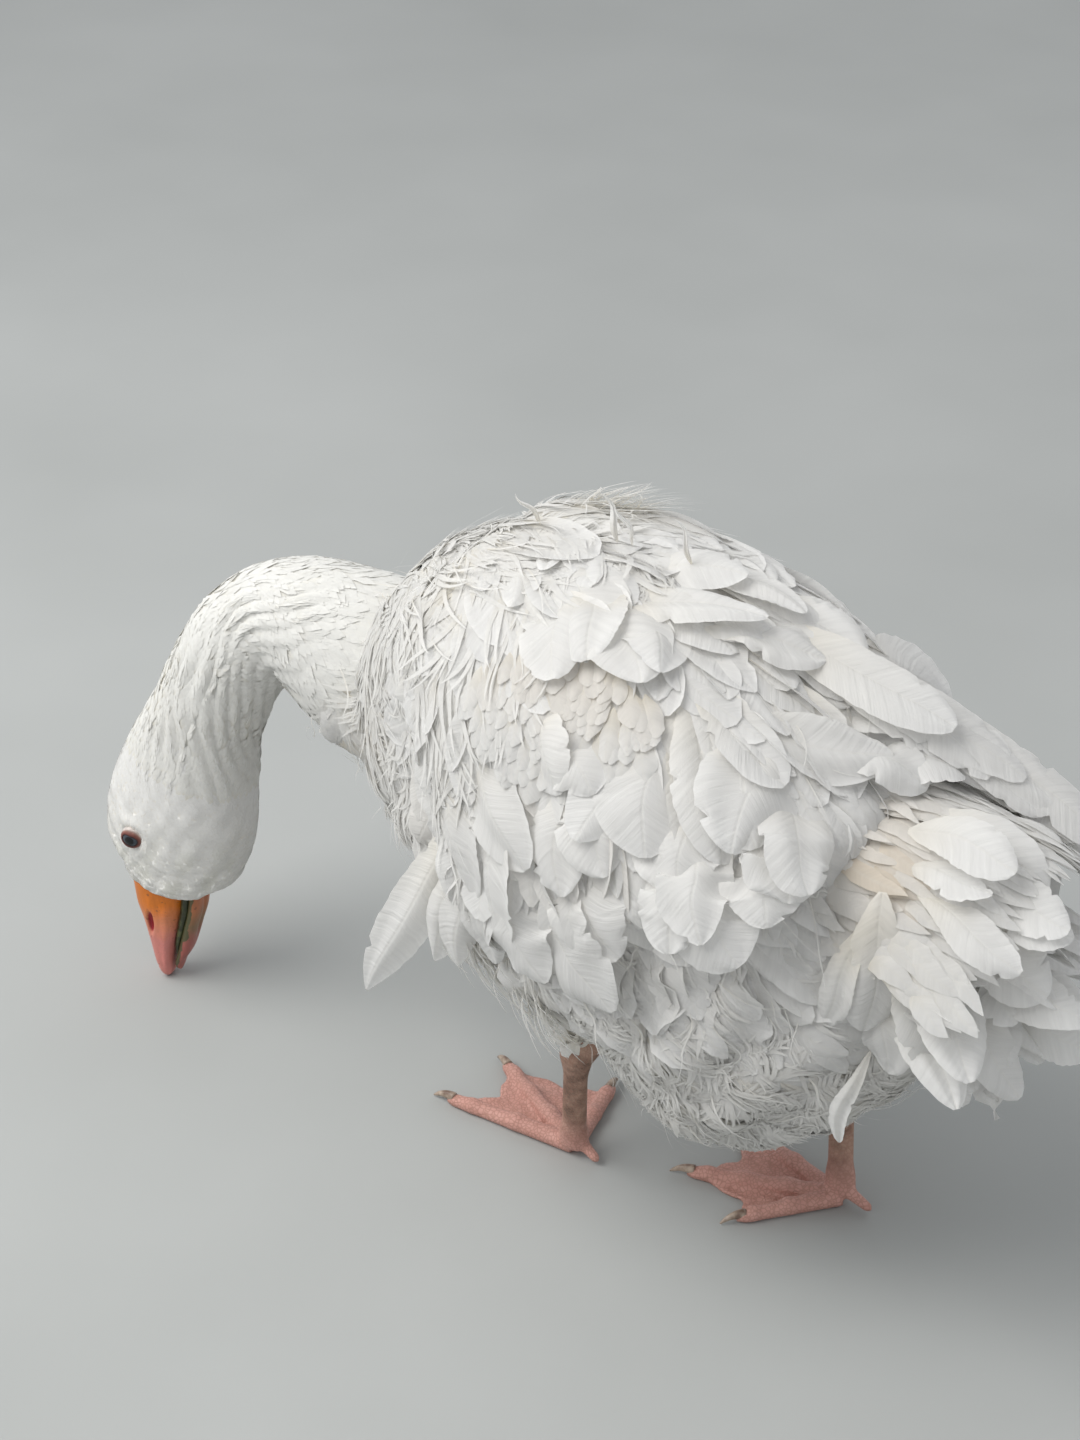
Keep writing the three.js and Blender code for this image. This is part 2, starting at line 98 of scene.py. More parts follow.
trunk_front, trunk_rear = (-218, 246), (152, 196)
trunk_rows = np.array([
    (-192, 308, 168, 52), (-155, 344, 142, 71), (-100, 360, 114, 90), (-60, 361, 86, 100),
    (-28, 356, 56, 104), (0, 349, 48, 105), (45, 324, 56, 101), (90, 286, 84, 87), (125, 254, 118, 64),
], float)  # x, back, belly, half width
neck_rows = np.array([
    (-5, 235, 56, 51), (20, 244, 49.5, 45), (45, 253, 40, 38), (62, 251, 34.5, 34), (79, 236, 33, 33),
    (95, 208, 32, 32), (106, 182, 33, 32), (113, 162, 37.5, 32.5), (120, 139, 42.5, 33),
    (124.5, 118, 45.5, 32.5), (128, 101, 44.5, 31), (130.5, 87, 40.5, 28.5), (133.5, 74, 33, 24),
    (137, 63, 22, 17), (138.5, 55, 0.5, 0.5),
], float)  # distance ahead, height, radius in the neck's plane, radius across it
trunk_boxiness = 2.5
cheek_fullness = 0.16
thighs = np.array([[(-4, -76, 166), (-45, -52, 97)], [(16, 76, 166), (52, 51, 92)]], float)  # hip, hock
feather_line = [(102, 75), (110, 69.5), (119, 69), (137, 69), (145, 69.5), (157, 67)]  # ahead, height
coat_depth = [(0, 8), (60, 13), (330, 13), (420, 8), (520, 4.5), (590, 1.6), (760, 1.0)]


def smooth_line(stations):
    """A smooth function through (at, value) stations that never overshoots them."""
    at, value = np.array(stations, float).T
    slope = np.diff(value) / np.diff(at)
    product = slope[:-1] * slope[1:]
    total = np.where(product > 0, slope[:-1] + slope[1:], 1)
    tangent = np.concatenate([slope[:1], np.where(product > 0, 2 * product / total, 0), slope[-1:]])

    def line(x):
        x = np.clip(x, at[0], at[-1])
        i = np.clip(np.searchsorted(at, x, side="right") - 1, 0, len(slope) - 1)
        width = at[i + 1] - at[i]
        u = (x - at[i]) / width
        rise = value[i + 1] - value[i]
        start, end = tangent[i] * width, tangent[i + 1] * width
        return value[i] + u * (start + u * (3 * rise - 2 * start - end + u * (start + end - 2 * rise)))

    return line


def curve_through(at, values):
    """A cubic curve through rows of values, with each row's slope set by its two neighbours."""
    tangent = np.gradient(values, at, axis=0)

    def curve(x):
        x = np.clip(np.asarray(x, float), at[0], at[-1])
        i = np.clip(np.searchsorted(at, x, side="right") - 1, 0, len(at) - 2)
        width = (at[i + 1] - at[i])[..., None]
        u = ((x - at[i])[..., None]) / width
        a, b, ta, tb = values[i], values[i + 1], tangent[i] * width, tangent[i + 1] * width
        return (2 * u**3 - 3 * u**2 + 1) * a + (u**3 - 2 * u**2 + u) * ta \
            + (3 * u**2 - 2 * u**3) * b + (u**3 - u**2) * tb

    return curve


def unit(vectors):
    return vectors / np.maximum(np.linalg.norm(vectors, axis=-1, keepdims=True), 1e-9)


def smoothstep(x, low, high):
    """0 at low, 1 at high and 3u^2 - 2u^3 between them; low may be the greater one."""
    u = np.clip((x - low) / (high - low), 0, 1)
    return u * u * (3 - 2 * u)


def bell(x):
    return np.exp(-x**2)


def signed_power(x, power):
    return np.sign(x) * np.abs(x)**power



def spine_stations():
    """Rings as rows of centre, up vector, side vector, two radii and boxiness, from rump to bill."""
    front, rear = trunk_front[0], trunk_rear[0]
    turn = lambda x: np.arccos((front + rear - 2 * x) / (rear - front)) / np.pi
    line = lambda column, a, b: smooth_line(
        [(0, a), *zip(turn(trunk_rows[:, 0]), trunk_rows[:, column]), (1, b)])
    back = line(1, trunk_front[1], trunk_rear[1])
    belly = line(2, trunk_front[1], trunk_rear[1])
    half = line(3, 0, 0)
    t = np.linspace(0.995, turn(-196), 30)
    x = (front + rear - (rear - front) * np.cos(np.pi * t)) / 2
    high, low = back(t), belly(t)
    centre = np.stack([x, 0 * x, (high + low) / 2], -1)
    ups, sides = np.tile(up, (len(t), 1)), np.tile([0.0, -1.0, 0.0], (len(t), 1))
    numbers = np.stack([(high - low) / 2, half(t), np.full(len(t), trunk_boxiness)], -1)
    trunk = np.concatenate([centre, ups, sides, numbers], 1)
    s, z, in_plane, sideways = neck_rows.T
    tangent = unit(np.stack([np.gradient(s), np.gradient(z)], -1))
    crown = -ahead * tangent[:, 1:] + up * tangent[:, :1]
    numbers = np.stack([in_plane, sideways, np.full(len(s), 2.0)], -1)
    neck = np.concatenate([neck_point(s, z), crown, np.tile(across, (len(s), 1)), numbers], 1)
    return np.concatenate([trunk, neck])


stations = spine_stations()
steps = np.hypot(np.linalg.norm(np.diff(stations[:, :3], axis=0), axis=1),
                 np.diff(stations[:, 9:11].mean(1)))
station_at = np.concatenate([[0], np.cumsum(steps)])
spine = curve_through(station_at, stations)
spine_length = station_at[-1]
depth_at = smooth_line(coat_depth)


def where_on_spine(distance, height):
    """The spine's parameter nearest to a point in the neck's plane."""
    samples = np.linspace(0, spine_length, 2000)
    gap = np.linalg.norm(spine(samples)[:, :3] - neck_point(distance, height), axis=1)
    return samples[np.argmin(gap)]


nape_at = where_on_spine(110, 170)
head_at = where_on_spine(122, 130)
neck_base_at = where_on_spine(10, 240)

wing_outline = np.array([
    (-112, 256), (-154, 312), (-120, 372), (-50, 402), (20, 398), (76, 344), (124, 296), (120, 262),
    (70, 246), (22, 214), (-45, 180), (-86, 192), (-98, 222),
], float)  # the folded wing from the side, x and z


def inside_outline(x, z, outline):
    """Signed distance to a polygon, positive inside it."""
    ends = np.roll(outline, -1, axis=0)
    best, inside = np.full(x.shape, 1e9), np.zeros(x.shape, bool)
    for (ax, az), (bx, bz) in zip(outline, ends):
        run, rise = bx - ax, bz - az
        share = np.clip(((x - ax) * run + (z - az) * rise) / (run**2 + rise**2), 0, 1)
        best = np.minimum(best, np.hypot(x - ax - share * run, z - az - share * rise))
        crosses = (az > z) != (bz > z)
        inside ^= crosses & (x < run * (z - az) / np.where(bz == az, 1, rise) + ax)
    return np.where(inside, best, -best)


def ripples(points, scale, seed, waves=5):
    """Smooth noise of about -1 to 1: a sum of sine waves in seeded directions."""
    chance = np.random.default_rng(seed)
    directions = unit(chance.normal(size=(waves, 3))) * 2 * np.pi / scale
    directions *= chance.uniform(0.7, 1.6, (waves, 1))
    phases = chance.uniform(0, 2 * np.pi, waves)
    return np.sin(points @ directions.T + phases).mean(-1) * 1.6


def local_place(points):
    """Distance ahead in the neck's plane, offset leftward and height of points."""
    relative = points - neck_foot
    return relative @ ahead, relative @ across, points[..., 2]


def relief(points, at, angle):
    """How far the skin stands out of its plain rings: wings, thighs, eye sockets, cheeks, furrows."""
    x, y, z = np.moveaxis(points, -1, 0)
    s, c, _ = local_place(points)
    on_trunk, on_head = at < neck_base_at, at > nape_at - 20
    wing = smoothstep(inside_outline(x, z, wing_outline), -2, 16) * smoothstep(np.abs(y), -12, 14)
    out = wing * on_trunk * np.interp(z, [300, 350], [17, 10])
    flank = smoothstep(z, 240, 190) * on_trunk
    out += flank * (3.8 * ripples(points, 46, 5) + 1.6 * ripples(points, 24, 25)
                    + 2.0 * smoothstep(z, 145, 115) * ripples(points, 30, 26))
    for hip, hock in thighs:
        share = np.clip((points - hip) @ (hock - hip) / ((hock - hip) @ (hock - hip)), 0, 1)
        gap = np.linalg.norm(points - hip - share[..., None] * (hock - hip), axis=-1)
        out += 9 * bell(gap / 34)
    # the belly is tucked up beside the thighs, more on the left, so that the shank stays free
    tuck = (110 - 0.82 * (x + 4) - 1.6 * (75 - np.abs(y)) - z) / 2.06 + 0.9 * out + 12
    side_share = np.where(y < 0, 1, 0.7)
    out -= 5 * np.logaddexp(0, tuck / 5) * smoothstep(z, 165, 135) * on_trunk * side_share
    eye_gap = np.hypot(s - eye["ahead"], z - eye["z"])
    side = smoothstep(np.abs(c), 12, 20) * on_head
    out += side * (-1.3 * bell(eye_gap / 6.5) + 0.6 * bell((eye_gap - 9.5) / 3.8))
    out += side * 1.6 * np.exp(-((z - eye["z"] - 8.5) / 4.5)**2 - ((s - eye["ahead"]) / 9)**2)
    crease = bell((s - eye["ahead"] - 0.12 * (z - 116)) / 1.1) \
        * smoothstep(z, 114, 117) * smoothstep(z, 127, 119)
    out -= side * crease * 0.9
    lip = smoothstep(z, 88, 74) * smoothstep(s, 160, 128) * on_head
    out += lip + 0.5 * smoothstep(z, 150, 125) * on_head * ripples(points, 15, 23)
    out += 0.3 * smoothstep(z, 112, 90) * on_head * ripples(points, 6.5, 24)
    neck = smoothstep(at, neck_base_at - 20, neck_base_at + 50) * smoothstep(at, head_at + 8, nape_at - 15)
    furrow_spacing = 10.5
    turn = at * 0.5 + angle * 34 + 5 * ripples(points, 60, 3)
    out += neck * np.sin(2 * np.pi * turn / furrow_spacing) * (0.7 + 0.4 * ripples(points, 35, 4))
    return out


def bare_rings(at, angle):
    """The plain body: superellipse rings about the spine, fuller on the throat side of the head."""
    row = spine(at)
    centre, crown, side = row[..., :3], unit(row[..., 3:6]), unit(row[..., 6:9])
    depth = depth_at(at)
    tall, wide = (np.maximum(row[..., k] - depth, row[..., k] * 0.05) for k in (9, 10))
    power = 2 / row[..., 11]
    rise, reach = signed_power(np.sin(angle), power), signed_power(np.cos(angle), power)
    reach = reach * (1 - cheek_fullness * smoothstep(at, nape_at - 30, nape_at + 40) * np.sin(angle))
    return centre + crown * (tall * rise)[..., None] + side * (wide * reach)[..., None]


def surface(at, angle):
    """Points of the skin at spine parameters and angles given as a grid of rows and columns."""
    plain = bare_rings(at, angle)
    along, around = np.gradient(plain, axis=0), np.roll(plain, -1, 1) - np.roll(plain, 1, 1)
    normal = unit(np.cross(around, along))
    return feather_edge(plain + normal * relief(plain, at, angle)[..., None], at)


def feather_edge(points, at):
    """Draws the head's end back to the slanting line where feathering stops on the bill."""
    softness = 1.6
    line = np.interp(local_place(points)[0], *zip(*feather_line))
    height = line + softness * np.logaddexp(0, (points[..., 2] - line) / softness)
    edge = smoothstep(at, head_at - 5, head_at + 5)
    points[..., 2] += edge * (height - points[..., 2])
    return points


def full_grid(at, columns):
    """Spine parameters, angles and skin points for rings of so many columns."""
    angle = np.arange(columns) * 2 * np.pi / columns
    at, angle = np.meshgrid(at, angle, indexing="ij")
    return at, angle, surface(at, angle)


def add_mesh(name, points, quads, triangles=None):
    """A mesh object from millimetre points in the goose's frame, and its faces as index arrays."""
    triangles = np.zeros((0, 3), int) if triangles is None else triangles
    mesh = bpy.data.meshes.new(name)
    corners = np.concatenate([np.ravel(quads), np.ravel(triangles)]).astype(np.int32)
    starts = np.concatenate([np.arange(len(quads)) * 4, quads.size + np.arange(len(triangles)) * 3])
    mesh.vertices.add(len(points))
    mesh.vertices.foreach_set("co", (points * MM + origin).astype(np.float32).ravel())
    mesh.loops.add(len(corners))
    mesh.loops.foreach_set("vertex_index", corners)
    mesh.polygons.add(len(starts))
    mesh.polygons.foreach_set("loop_start", starts.astype(np.int32))
    mesh.update(calc_edges=True)
    mesh.shade_smooth()
    return in_scene(name, mesh)


def loft(rings):
    """A closed body through rings (rows, around, 3), each end drawn together at its own middle."""
    rows, around, _ = rings.shape
    points = np.concatenate([rings.reshape(-1, 3), rings[0].mean(0)[None], rings[-1].mean(0)[None]])
    j = np.arange(around)
    k = (j + 1) % around
    i = np.arange(rows - 1)[:, None] * around
    quads = np.stack([i + j, i + k, i + around + k, i + around + j], -1).reshape(-1, 4)
    first = np.stack([k, j, np.full(around, rows * around)], -1)
    last = np.stack([j, k, np.full(around, 1 + rows * around)], -1)
    last[:, :2] += (rows - 1) * around
    triangles = np.concatenate([first, last])
    a, b, c = (points[triangles[:, n]] - points.mean(0) for n in range(3))
    volume = (a * np.cross(b, c)).sum()
    a, b, c, d = (points[quads[:, n]] - points.mean(0) for n in range(4))
    volume += (a * np.cross(b, c)).sum() + (a * np.cross(c, d)).sum()
    if volume < 0:
        quads, triangles = quads[:, ::-1], triangles[:, ::-1]
    return points, quads, triangles


def merge(parts):
    """Several (points, quads, triangles) as one."""
    offset, points, quads, triangles = 0, [], [], []
    for part in parts:
        points.append(part[0])
        quads.append(part[1] + offset)
        triangles.append(part[2] + offset)
        offset += len(part[0])
    return np.concatenate(points), np.concatenate(quads), np.concatenate(triangles)


skin_at = np.concatenate([
    np.arange(0.6, neck_base_at - 30, 4.2),
    np.arange(neck_base_at - 30, nape_at - 10, 2.4),
    np.arange(nape_at - 10, spine_length, 1.0),
    [spine_length],
])
skin_part = loft(full_grid(skin_at, 208)[2])


# ---- Legs and feet ----
# Bare scaly skin over bone: an oval shank, three long toes with swollen joints, the loose web
# between them, and a small raised hind toe. They are one mesh with the body's skin, in their own
# colour.

legs = [
    {"side": 1, "ankle": (-66, -28), "hock": thighs[0, 1], "toes": (-8, 23, 72)},
    {"side": -1, "ankle": (71, 29), "hock": thighs[1, 1], "toes": (-12, 24, 56)},
]  # side is +1 on the left; the toes are headings in degrees from straight ahead, outward
toe_lengths = (82, 84, 58)
toe_joints = ((0.45, 0.8), (0.34, 0.62, 0.86), (0.5, 0.85))


def tube(path, wide, tall, facing, around=20):
    """A closed tube of oval rings along a path; tall is measured along the facing vector."""
    tangent = unit(np.gradient(path, axis=0))
    side = unit(np.cross(tangent, facing))
    rise = np.cross(side, tangent)
    turn = np.arange(around) * 2 * np.pi / around
    spread = side[:, None] * (wide[:, None] * np.cos(turn))[..., None]
    lift = rise[:, None] * (tall[:, None] * np.sin(turn))[..., None]
    return loft(path[:, None] + spread + lift)


def closing(past_end, least):
    """Rounds a tube's end off: the factor sqrt(1 - t^2), where t runs from 0 to 1 over the end."""
    return np.sqrt(np.clip(1 - past_end.clip(0)**2, least, 1))


def toe_point(leg, heading, reach, height):
    """A point at a heading and distance from the ankle, and a height above the floor."""
    heading = np.radians(heading)
    x = leg["ankle"][0] - np.cos(heading) * reach
    y = leg["ankle"][1] + leg["side"] * np.sin(heading) * reach
    return np.stack(np.broadcast_arrays(x, y, height), -1).astype(float)


def toe(leg, heading, length, joints):
    """A toe: thicker at the foot, a swelling at each joint and a pad under it, blunt at the end."""
    u = np.linspace(0, 1, 70)
    swelling = sum(bell((u - joint) / 0.05) for joint in joints)
    radius = (5.6 - 2.0 * u + 0.75 * swelling) * closing((u - 0.93) / 0.07, 0.02)
    return tube(toe_point(leg, heading, u * length, radius * 0.86), radius * 1.02, radius * 0.95, up)


def web(leg):
    """The web: a thin fan from toe to toe with a hollow front edge, sagging and creased between."""
    inner, middle, outer = leg["toes"]
    turn, reach = np.meshgrid(np.linspace(inner, outer, 90), np.linspace(0.06, 1, 44), indexing="ij")
    ends = np.interp(turn, leg["toes"], np.array(toe_lengths) - 4.0)
    share = np.where(turn < middle, (turn - inner) / (middle - inner), (turn - middle) / (outer - middle))
    hollow = np.sin(np.pi * share)
    edge = ends * (1 - 0.2 * hollow - 0.02 * np.sin(5 * np.pi * share))
    creases = np.sin(reach * 26 + 3 * share) * 0.35 + np.sin(turn * 0.55 + 6 * reach) * 0.3
    top = 3.3 - 1.1 * hollow + creases * hollow * reach
    upper = toe_point(leg, turn, reach * edge, top)
    lower = toe_point(leg, turn, reach * edge, 0.15 + 0 * top)
    return loft(np.concatenate([upper, lower[:, ::-1]], 1))


def shank(leg):
    """The shank: oval, slim in the middle and swollen at the hock and the ankle."""
    u = np.linspace(0, 1, 80)
    foot = np.array([*leg["ankle"], 4.5])
    path = foot + (leg["hock"] + (0, 0, 8) - foot) * u[:, None]
    path += np.array([18, 6 * leg["side"], 20]) * smoothstep(u, 0.78, 1)[:, None]
    radius = smooth_line([(0, 8.6), (0.12, 8.4), (0.22, 7), (0.6, 6.9), (0.85, 10), (1, 9)])(u)
    radius *= closing((0.05 - u) / 0.05, 0.1)
    return tube(path, radius * 0.78, radius * 1.04, np.array([-1.0, 0, 0]), 36)


def hind_toe(leg):
    """The hind toe: short and blunt, running back and down from the ankle."""
    u = np.linspace(0, 1, 24)
    radius = (4.0 - 1.6 * u) * closing((u - 0.85) / 0.15, 0.05)
    return tube(toe_point(leg, leg["toes"][1] - 17, -19 * u, 12 - 8.5 * u), radius, radius, up)


def remeshed(part, voxel, smoothing):
    """The outer surface of overlapping closed bodies as one mesh of points, quads and triangles."""
    piece = add_mesh("leg", *part)
    remesh = piece.modifiers.new("remesh", "REMESH")
    remesh.mode = "VOXEL"
    remesh.voxel_size = voxel * MM
    soften = piece.modifiers.new("soften", "SMOOTH")
    soften.factor = 0.5
    soften.iterations = smoothing
    result = piece.evaluated_get(bpy.context.evaluated_depsgraph_get()).to_mesh()

    def read(rows, title, kind, width=1):
        values = np.empty(len(rows) * width, kind)
        rows.foreach_get(title, values)
        return values

    points = read(result.vertices, "co", np.float32, 3)
    sizes = read(result.polygons, "loop_total", np.int32)
    corners = read(result.loops, "vertex_index", np.int32)
    starts = np.cumsum(sizes) - sizes
    quads = corners[starts[sizes == 4][:, None] + np.arange(4)]
    triangles = corners[starts[sizes == 3][:, None] + np.arange(3)]
    bpy.data.objects.remove(piece)
    return (points.reshape(-1, 3) - origin) / MM, quads, triangles


leg_parts = []
for leg in legs:
    toes = [toe(leg, *row) for row in zip(leg["toes"], toe_lengths, toe_joints)]
    solid = remeshed(merge([*toes, web(leg), shank(leg), hind_toe(leg)]), 1.15, 2)
    solid[0][:, 2] = np.maximum(solid[0][:, 2], 0)
    leg_parts.append(solid)

skin = add_mesh("skin", *merge([skin_part, *leg_parts]))
body_faces = len(skin_part[1]), len(skin_part[2])


# ---- Colours of skin and plumage ----
# White feathers painted cream towards their roots as painted shade under the feathers above them,
# a painted green reflection of the lawn low on the head, and some beige down.
# Barbs run slantwise from each quill, so their streaks follow the feather's own map.

def new_material(name, roughness, **constants):
    material = bpy.data.materials.new(name)
    material.use_nodes = True
    shader = material.node_tree.nodes["Principled BSDF"]
    shader.inputs["Roughness"].default_value = roughness
    for socket, value in constants.items():
        shader.inputs[socket.replace("_", " ")].default_value = value
    return material, material.node_tree, shader


def node(tree, kind, **settings):
    """A shader node; a setting named after a socket gives that socket a value or a link."""
    made = tree.nodes.new(kind)
    for name, value in settings.items():
        if hasattr(made, name):
            setattr(made, name, value)
            continue
        key = int(name[1:]) if name[0] == "i" and name[1:].isdigit() else name.replace("_", " ")
        socket = made.inputs[key]
        if isinstance(value, bpy.types.NodeSocket):
            tree.links.new(value, socket)
        else:
            socket.default_value = value
    return made


def math_node(tree, operation, first, second=0.0, third=0.0):
    return node(tree, "ShaderNodeMath", operation=operation, i0=first, i1=second, i2=third).outputs[0]


def times(tree, first, second):
    return math_node(tree, "MULTIPLY", first, second)


def ramp(tree, factor, stops):
    """A colour ramp; each stop is a place and either a colour or one value of grey."""
    made = tree.nodes.new("ShaderNodeValToRGB")
    tree.links.new(factor, made.inputs[0])
    elements = made.color_ramp.elements
    while len(elements) < len(stops):
        elements.new(0.5)
    for element, (at, colour) in zip(elements, stops):
        element.position = at
        element.color = (*colour, 1) if isinstance(colour, tuple) else (colour, colour, colour, 1)
    return made.outputs[0]


def mix(tree, factor, first, second, blend="MIX"):
    made = tree.nodes.new("ShaderNodeMix")
    made.data_type = "RGBA"
    made.blend_type = blend
    for socket, value in ((made.inputs[0], factor), (made.inputs[6], first), (made.inputs[7], second)):
        if isinstance(value, bpy.types.NodeSocket):
            tree.links.new(value, socket)
        else:
            socket.default_value = (*value, 1) if isinstance(value, tuple) else value
    return made.outputs[2]


def shaded(tree, colour, shade):
    return mix(tree, 1.0, colour, shade, "MULTIPLY")


def noise(tree, vector, scale, detail=2.0, roughness=0.5):
    return node(tree, "ShaderNodeTexNoise", Vector=vector, Scale=scale, Detail=detail,
                Roughness=roughness).outputs[0]


def object_place(tree):
    return tree.nodes.new("ShaderNodeTexCoord").outputs["Object"]


def mark_values(tree):
    """The three shading values stored at each point of a mesh."""
    marks = node(tree, "ShaderNodeAttribute", attribute_name="marks").outputs["Color"]
    return node(tree, "ShaderNodeSeparateColor", Color=marks).outputs


def dress(tree, shader, colour, height=None, strength=0.0, distance=0.0):
    """Gives the shader its colour and, where there is a height, the relief that follows it."""
    tree.links.new(colour, shader.inputs["Base Color"])
    if height is not None:
        bump = node(tree, "ShaderNodeBump", Strength=strength, Distance=distance, Height=height)
        tree.links.new(bump.outputs[0], shader.inputs["Normal"])


white = (0.90, 0.895, 0.88)
# cream: painted shade, for the roots of feathers and the skin under the coat
shade_cream = (0.84, 0.79, 0.68)
# Green of real dirt specks on the skin, and of the painted reflection of the lawn on head and neck.
stain_and_reflection_green = (0.66, 0.66, 0.52)
beige = (0.78, 0.64, 0.45)
quill_horn = (0.86, 0.84, 0.78)
barb_slant = 0.8  # how far a barb runs tipward for each step away from the quill


def plumage_colour_group():
    """White turned cream in broad patches by the first input, painted shade deep in the coat,
    and specked with green by Stain.
    """
    group = bpy.data.node_groups.new("plumage colour", "ShaderNodeTree")
    group.interface.new_socket("Deepness", in_out="INPUT", socket_type="NodeSocketFloat")
    group.interface.new_socket("Stain", in_out="INPUT", socket_type="NodeSocketFloat")
    group.interface.new_socket("Colour", in_out="OUTPUT", socket_type="NodeSocketColor")
    inputs, outputs = group.nodes.new("NodeGroupInput"), group.nodes.new("NodeGroupOutput")
    place = object_place(group)
    patches = ramp(group, noise(group, place, 16.0, 3.0), [(0.45, 0.0), (0.72, 1.0)])
    # Painted shade: cream where a feather lies under others, uneven in broad patches.
    patchy_shade = math_node(group, "MULTIPLY_ADD", patches, 0.7, 0.5)
    shade_share = times(group, inputs.outputs["Deepness"], patchy_shade)
    colour = mix(group, shade_share, white, shade_cream)
    specks = ramp(group, noise(group, place, 240.0), [(0.35, 0.2), (0.65, 1.0)])
    mottled = times(group, inputs.outputs["Stain"], specks)
    group.links.new(mix(group, mottled, colour, stain_and_reflection_green), outputs.inputs["Colour"])
    return group


plumage_colour = plumage_colour_group()


def plumage_material(name, barb_depth, sheen, tinted, thinness):
    """Feather material: cream at the root as painted shade, since the root lies under other feathers,
    white at the tip and tinted where marked, with slanting barbs in colour and relief; thinness is
    the share of light that passes through."""
    material, tree, shader = new_material(name, 0.75, Sheen_Weight=sheen, Sheen_Roughness=0.5,
                                          Specular_IOR_Level=0.25)
    tone, tint, along = mark_values(tree)
    vane = node(tree, "ShaderNodeUVMap", uv_map="vane").outputs[0]
    aside, tipward, _ = node(tree, "ShaderNodeSeparateXYZ", Vector=vane).outputs
    from_quill = math_node(tree, "ABSOLUTE", aside)
    slant = math_node(tree, "SUBTRACT", tipward, times(tree, from_quill, barb_slant))
    streak = node(tree, "ShaderNodeCombineXYZ", X=times(tree, slant, 32.0),
                  Y=times(tree, aside, 3.0),
                  Z=times(tree, tone, 40.0)).outputs[0]
    barbs = noise(tree, streak, 1.0, 3.0, 0.6)
    quill = ramp(tree, from_quill, [(0.0, 1.0), (0.012, 0.0)])
    # Painted shade: cream towards the root, which lies under the feathers above it.
    root_shade = ramp(tree, along, [(0.0, 1.0), (0.55, 0.12), (1.0, 0.0)])
    group = node(tree, "ShaderNodeGroup", node_tree=plumage_colour, Deepness=root_shade)
    colour = mix(tree, tint, group.outputs[0], tinted)
    for value, stops in ((barbs, [(0.3, 0.92), (0.7, 1.0)]), (tone, [(0.0, 0.96), (1.0, 1.0)])):
        colour = shaded(tree, colour, ramp(tree, value, stops))
    colour = mix(tree, times(tree, quill, 0.2), colour, quill_horn)
    ridges = math_node(tree, "ADD", barbs, times(tree, quill, 0.3))
    dress(tree, shader, colour, ridges, barb_depth, 0.0012)
    through = node(tree, "ShaderNodeBsdfTranslucent", Color=colour)
    both = node(tree, "ShaderNodeMixShader", i0=thinness, i1=shader.outputs[0], i2=through.outputs[0])
    tree.links.new(both.outputs[0], tree.nodes["Material Output"].inputs["Surface"])
    return material


# The skin shows only between the feathers, so it is painted a fixed share of the cream shade.
skin_white, tree, shader = new_material("skin white", 0.85, Sheen_Weight=0.2, Specular_IOR_Level=0.2)
group = node(tree, "ShaderNodeGroup", node_tree=plumage_colour, Deepness=0.3, Stain=0.04)
dress(tree, shader, group.outputs[0], noise(tree, object_place(tree), 330.0, 3.0), 0.5, 0.0008)

leg_skin, tree, shader = new_material("leg skin", 0.55, Specular_IOR_Level=0.4)
place = object_place(tree)
height = node(tree, "ShaderNodeSeparateXYZ", Vector=place).outputs[2]
scales = node(tree, "ShaderNodeTexVoronoi", Vector=place, Scale=430.0, feature="DISTANCE_TO_EDGE")
edges = ramp(tree, scales.outputs[0], [(0.0, 0.0), (0.16, 1.0)])
blotches = noise(tree, place, 70.0, 4.0, 0.65)
pink = mix(tree, blotches, (0.46, 0.21, 0.17), (0.74, 0.43, 0.37))
pale_share = ramp(tree, blotches, [(0.38, 0.0), (0.6, 1.0)])
# Brown from 12 mm up, fully from 35 mm: dirt on the shank and painted shade under the body; the feet stay
# pink.
dirt_and_shade_brown = mix(tree, pale_share, (0.13, 0.08, 0.055), (0.42, 0.27, 0.20))
colour = mix(tree, ramp(tree, height, [(0.012, 0.0), (0.035, 1.0)]), pink, dirt_and_shade_brown)
colour = mix(tree, math_node(tree, "MULTIPLY_ADD", edges, -0.35, 0.5), colour, (0.30, 0.15, 0.10))
colour = mix(tree, ramp(tree, edges, [(0.0, 0.22), (1.0, 0.0)]), colour, (0.32, 0.16, 0.12))
dress(tree, shader, colour, edges, 0.4, 0.0006)

skin.data.materials.append(skin_white)
skin.data.materials.append(leg_skin)
all_quads = sum(len(part[1]) for part in [skin_part, *leg_parts])
face_kind = np.ones(len(skin.data.polygons), np.int32)
face_kind[:body_faces[0]] = 0
face_kind[all_quads:all_quads + body_faces[1]] = 0
skin.data.polygons.foreach_set("material_index", face_kind)
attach(skin, "root")
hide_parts("head", "neck_upper", "neck_arch", "neck_base", "trunk", "tail", "wing_left",
            "wing_right", "thigh_left", "thigh_right", "shank_left", "shank_right", "foot_left",
            "foot_right")


# ---- Claws ----
# Short blunt horn claws that grow out of the three toes and curve down to the ground.

def wandering_material(name, roughness, scale, stops, **constants):
    """A plain material whose colour wanders between the stops with one noise."""
    material, tree, shader = new_material(name, roughness, **constants)
    dress(tree, shader, ramp(tree, noise(tree, object_place(tree), scale, 3.0), stops))
    return material


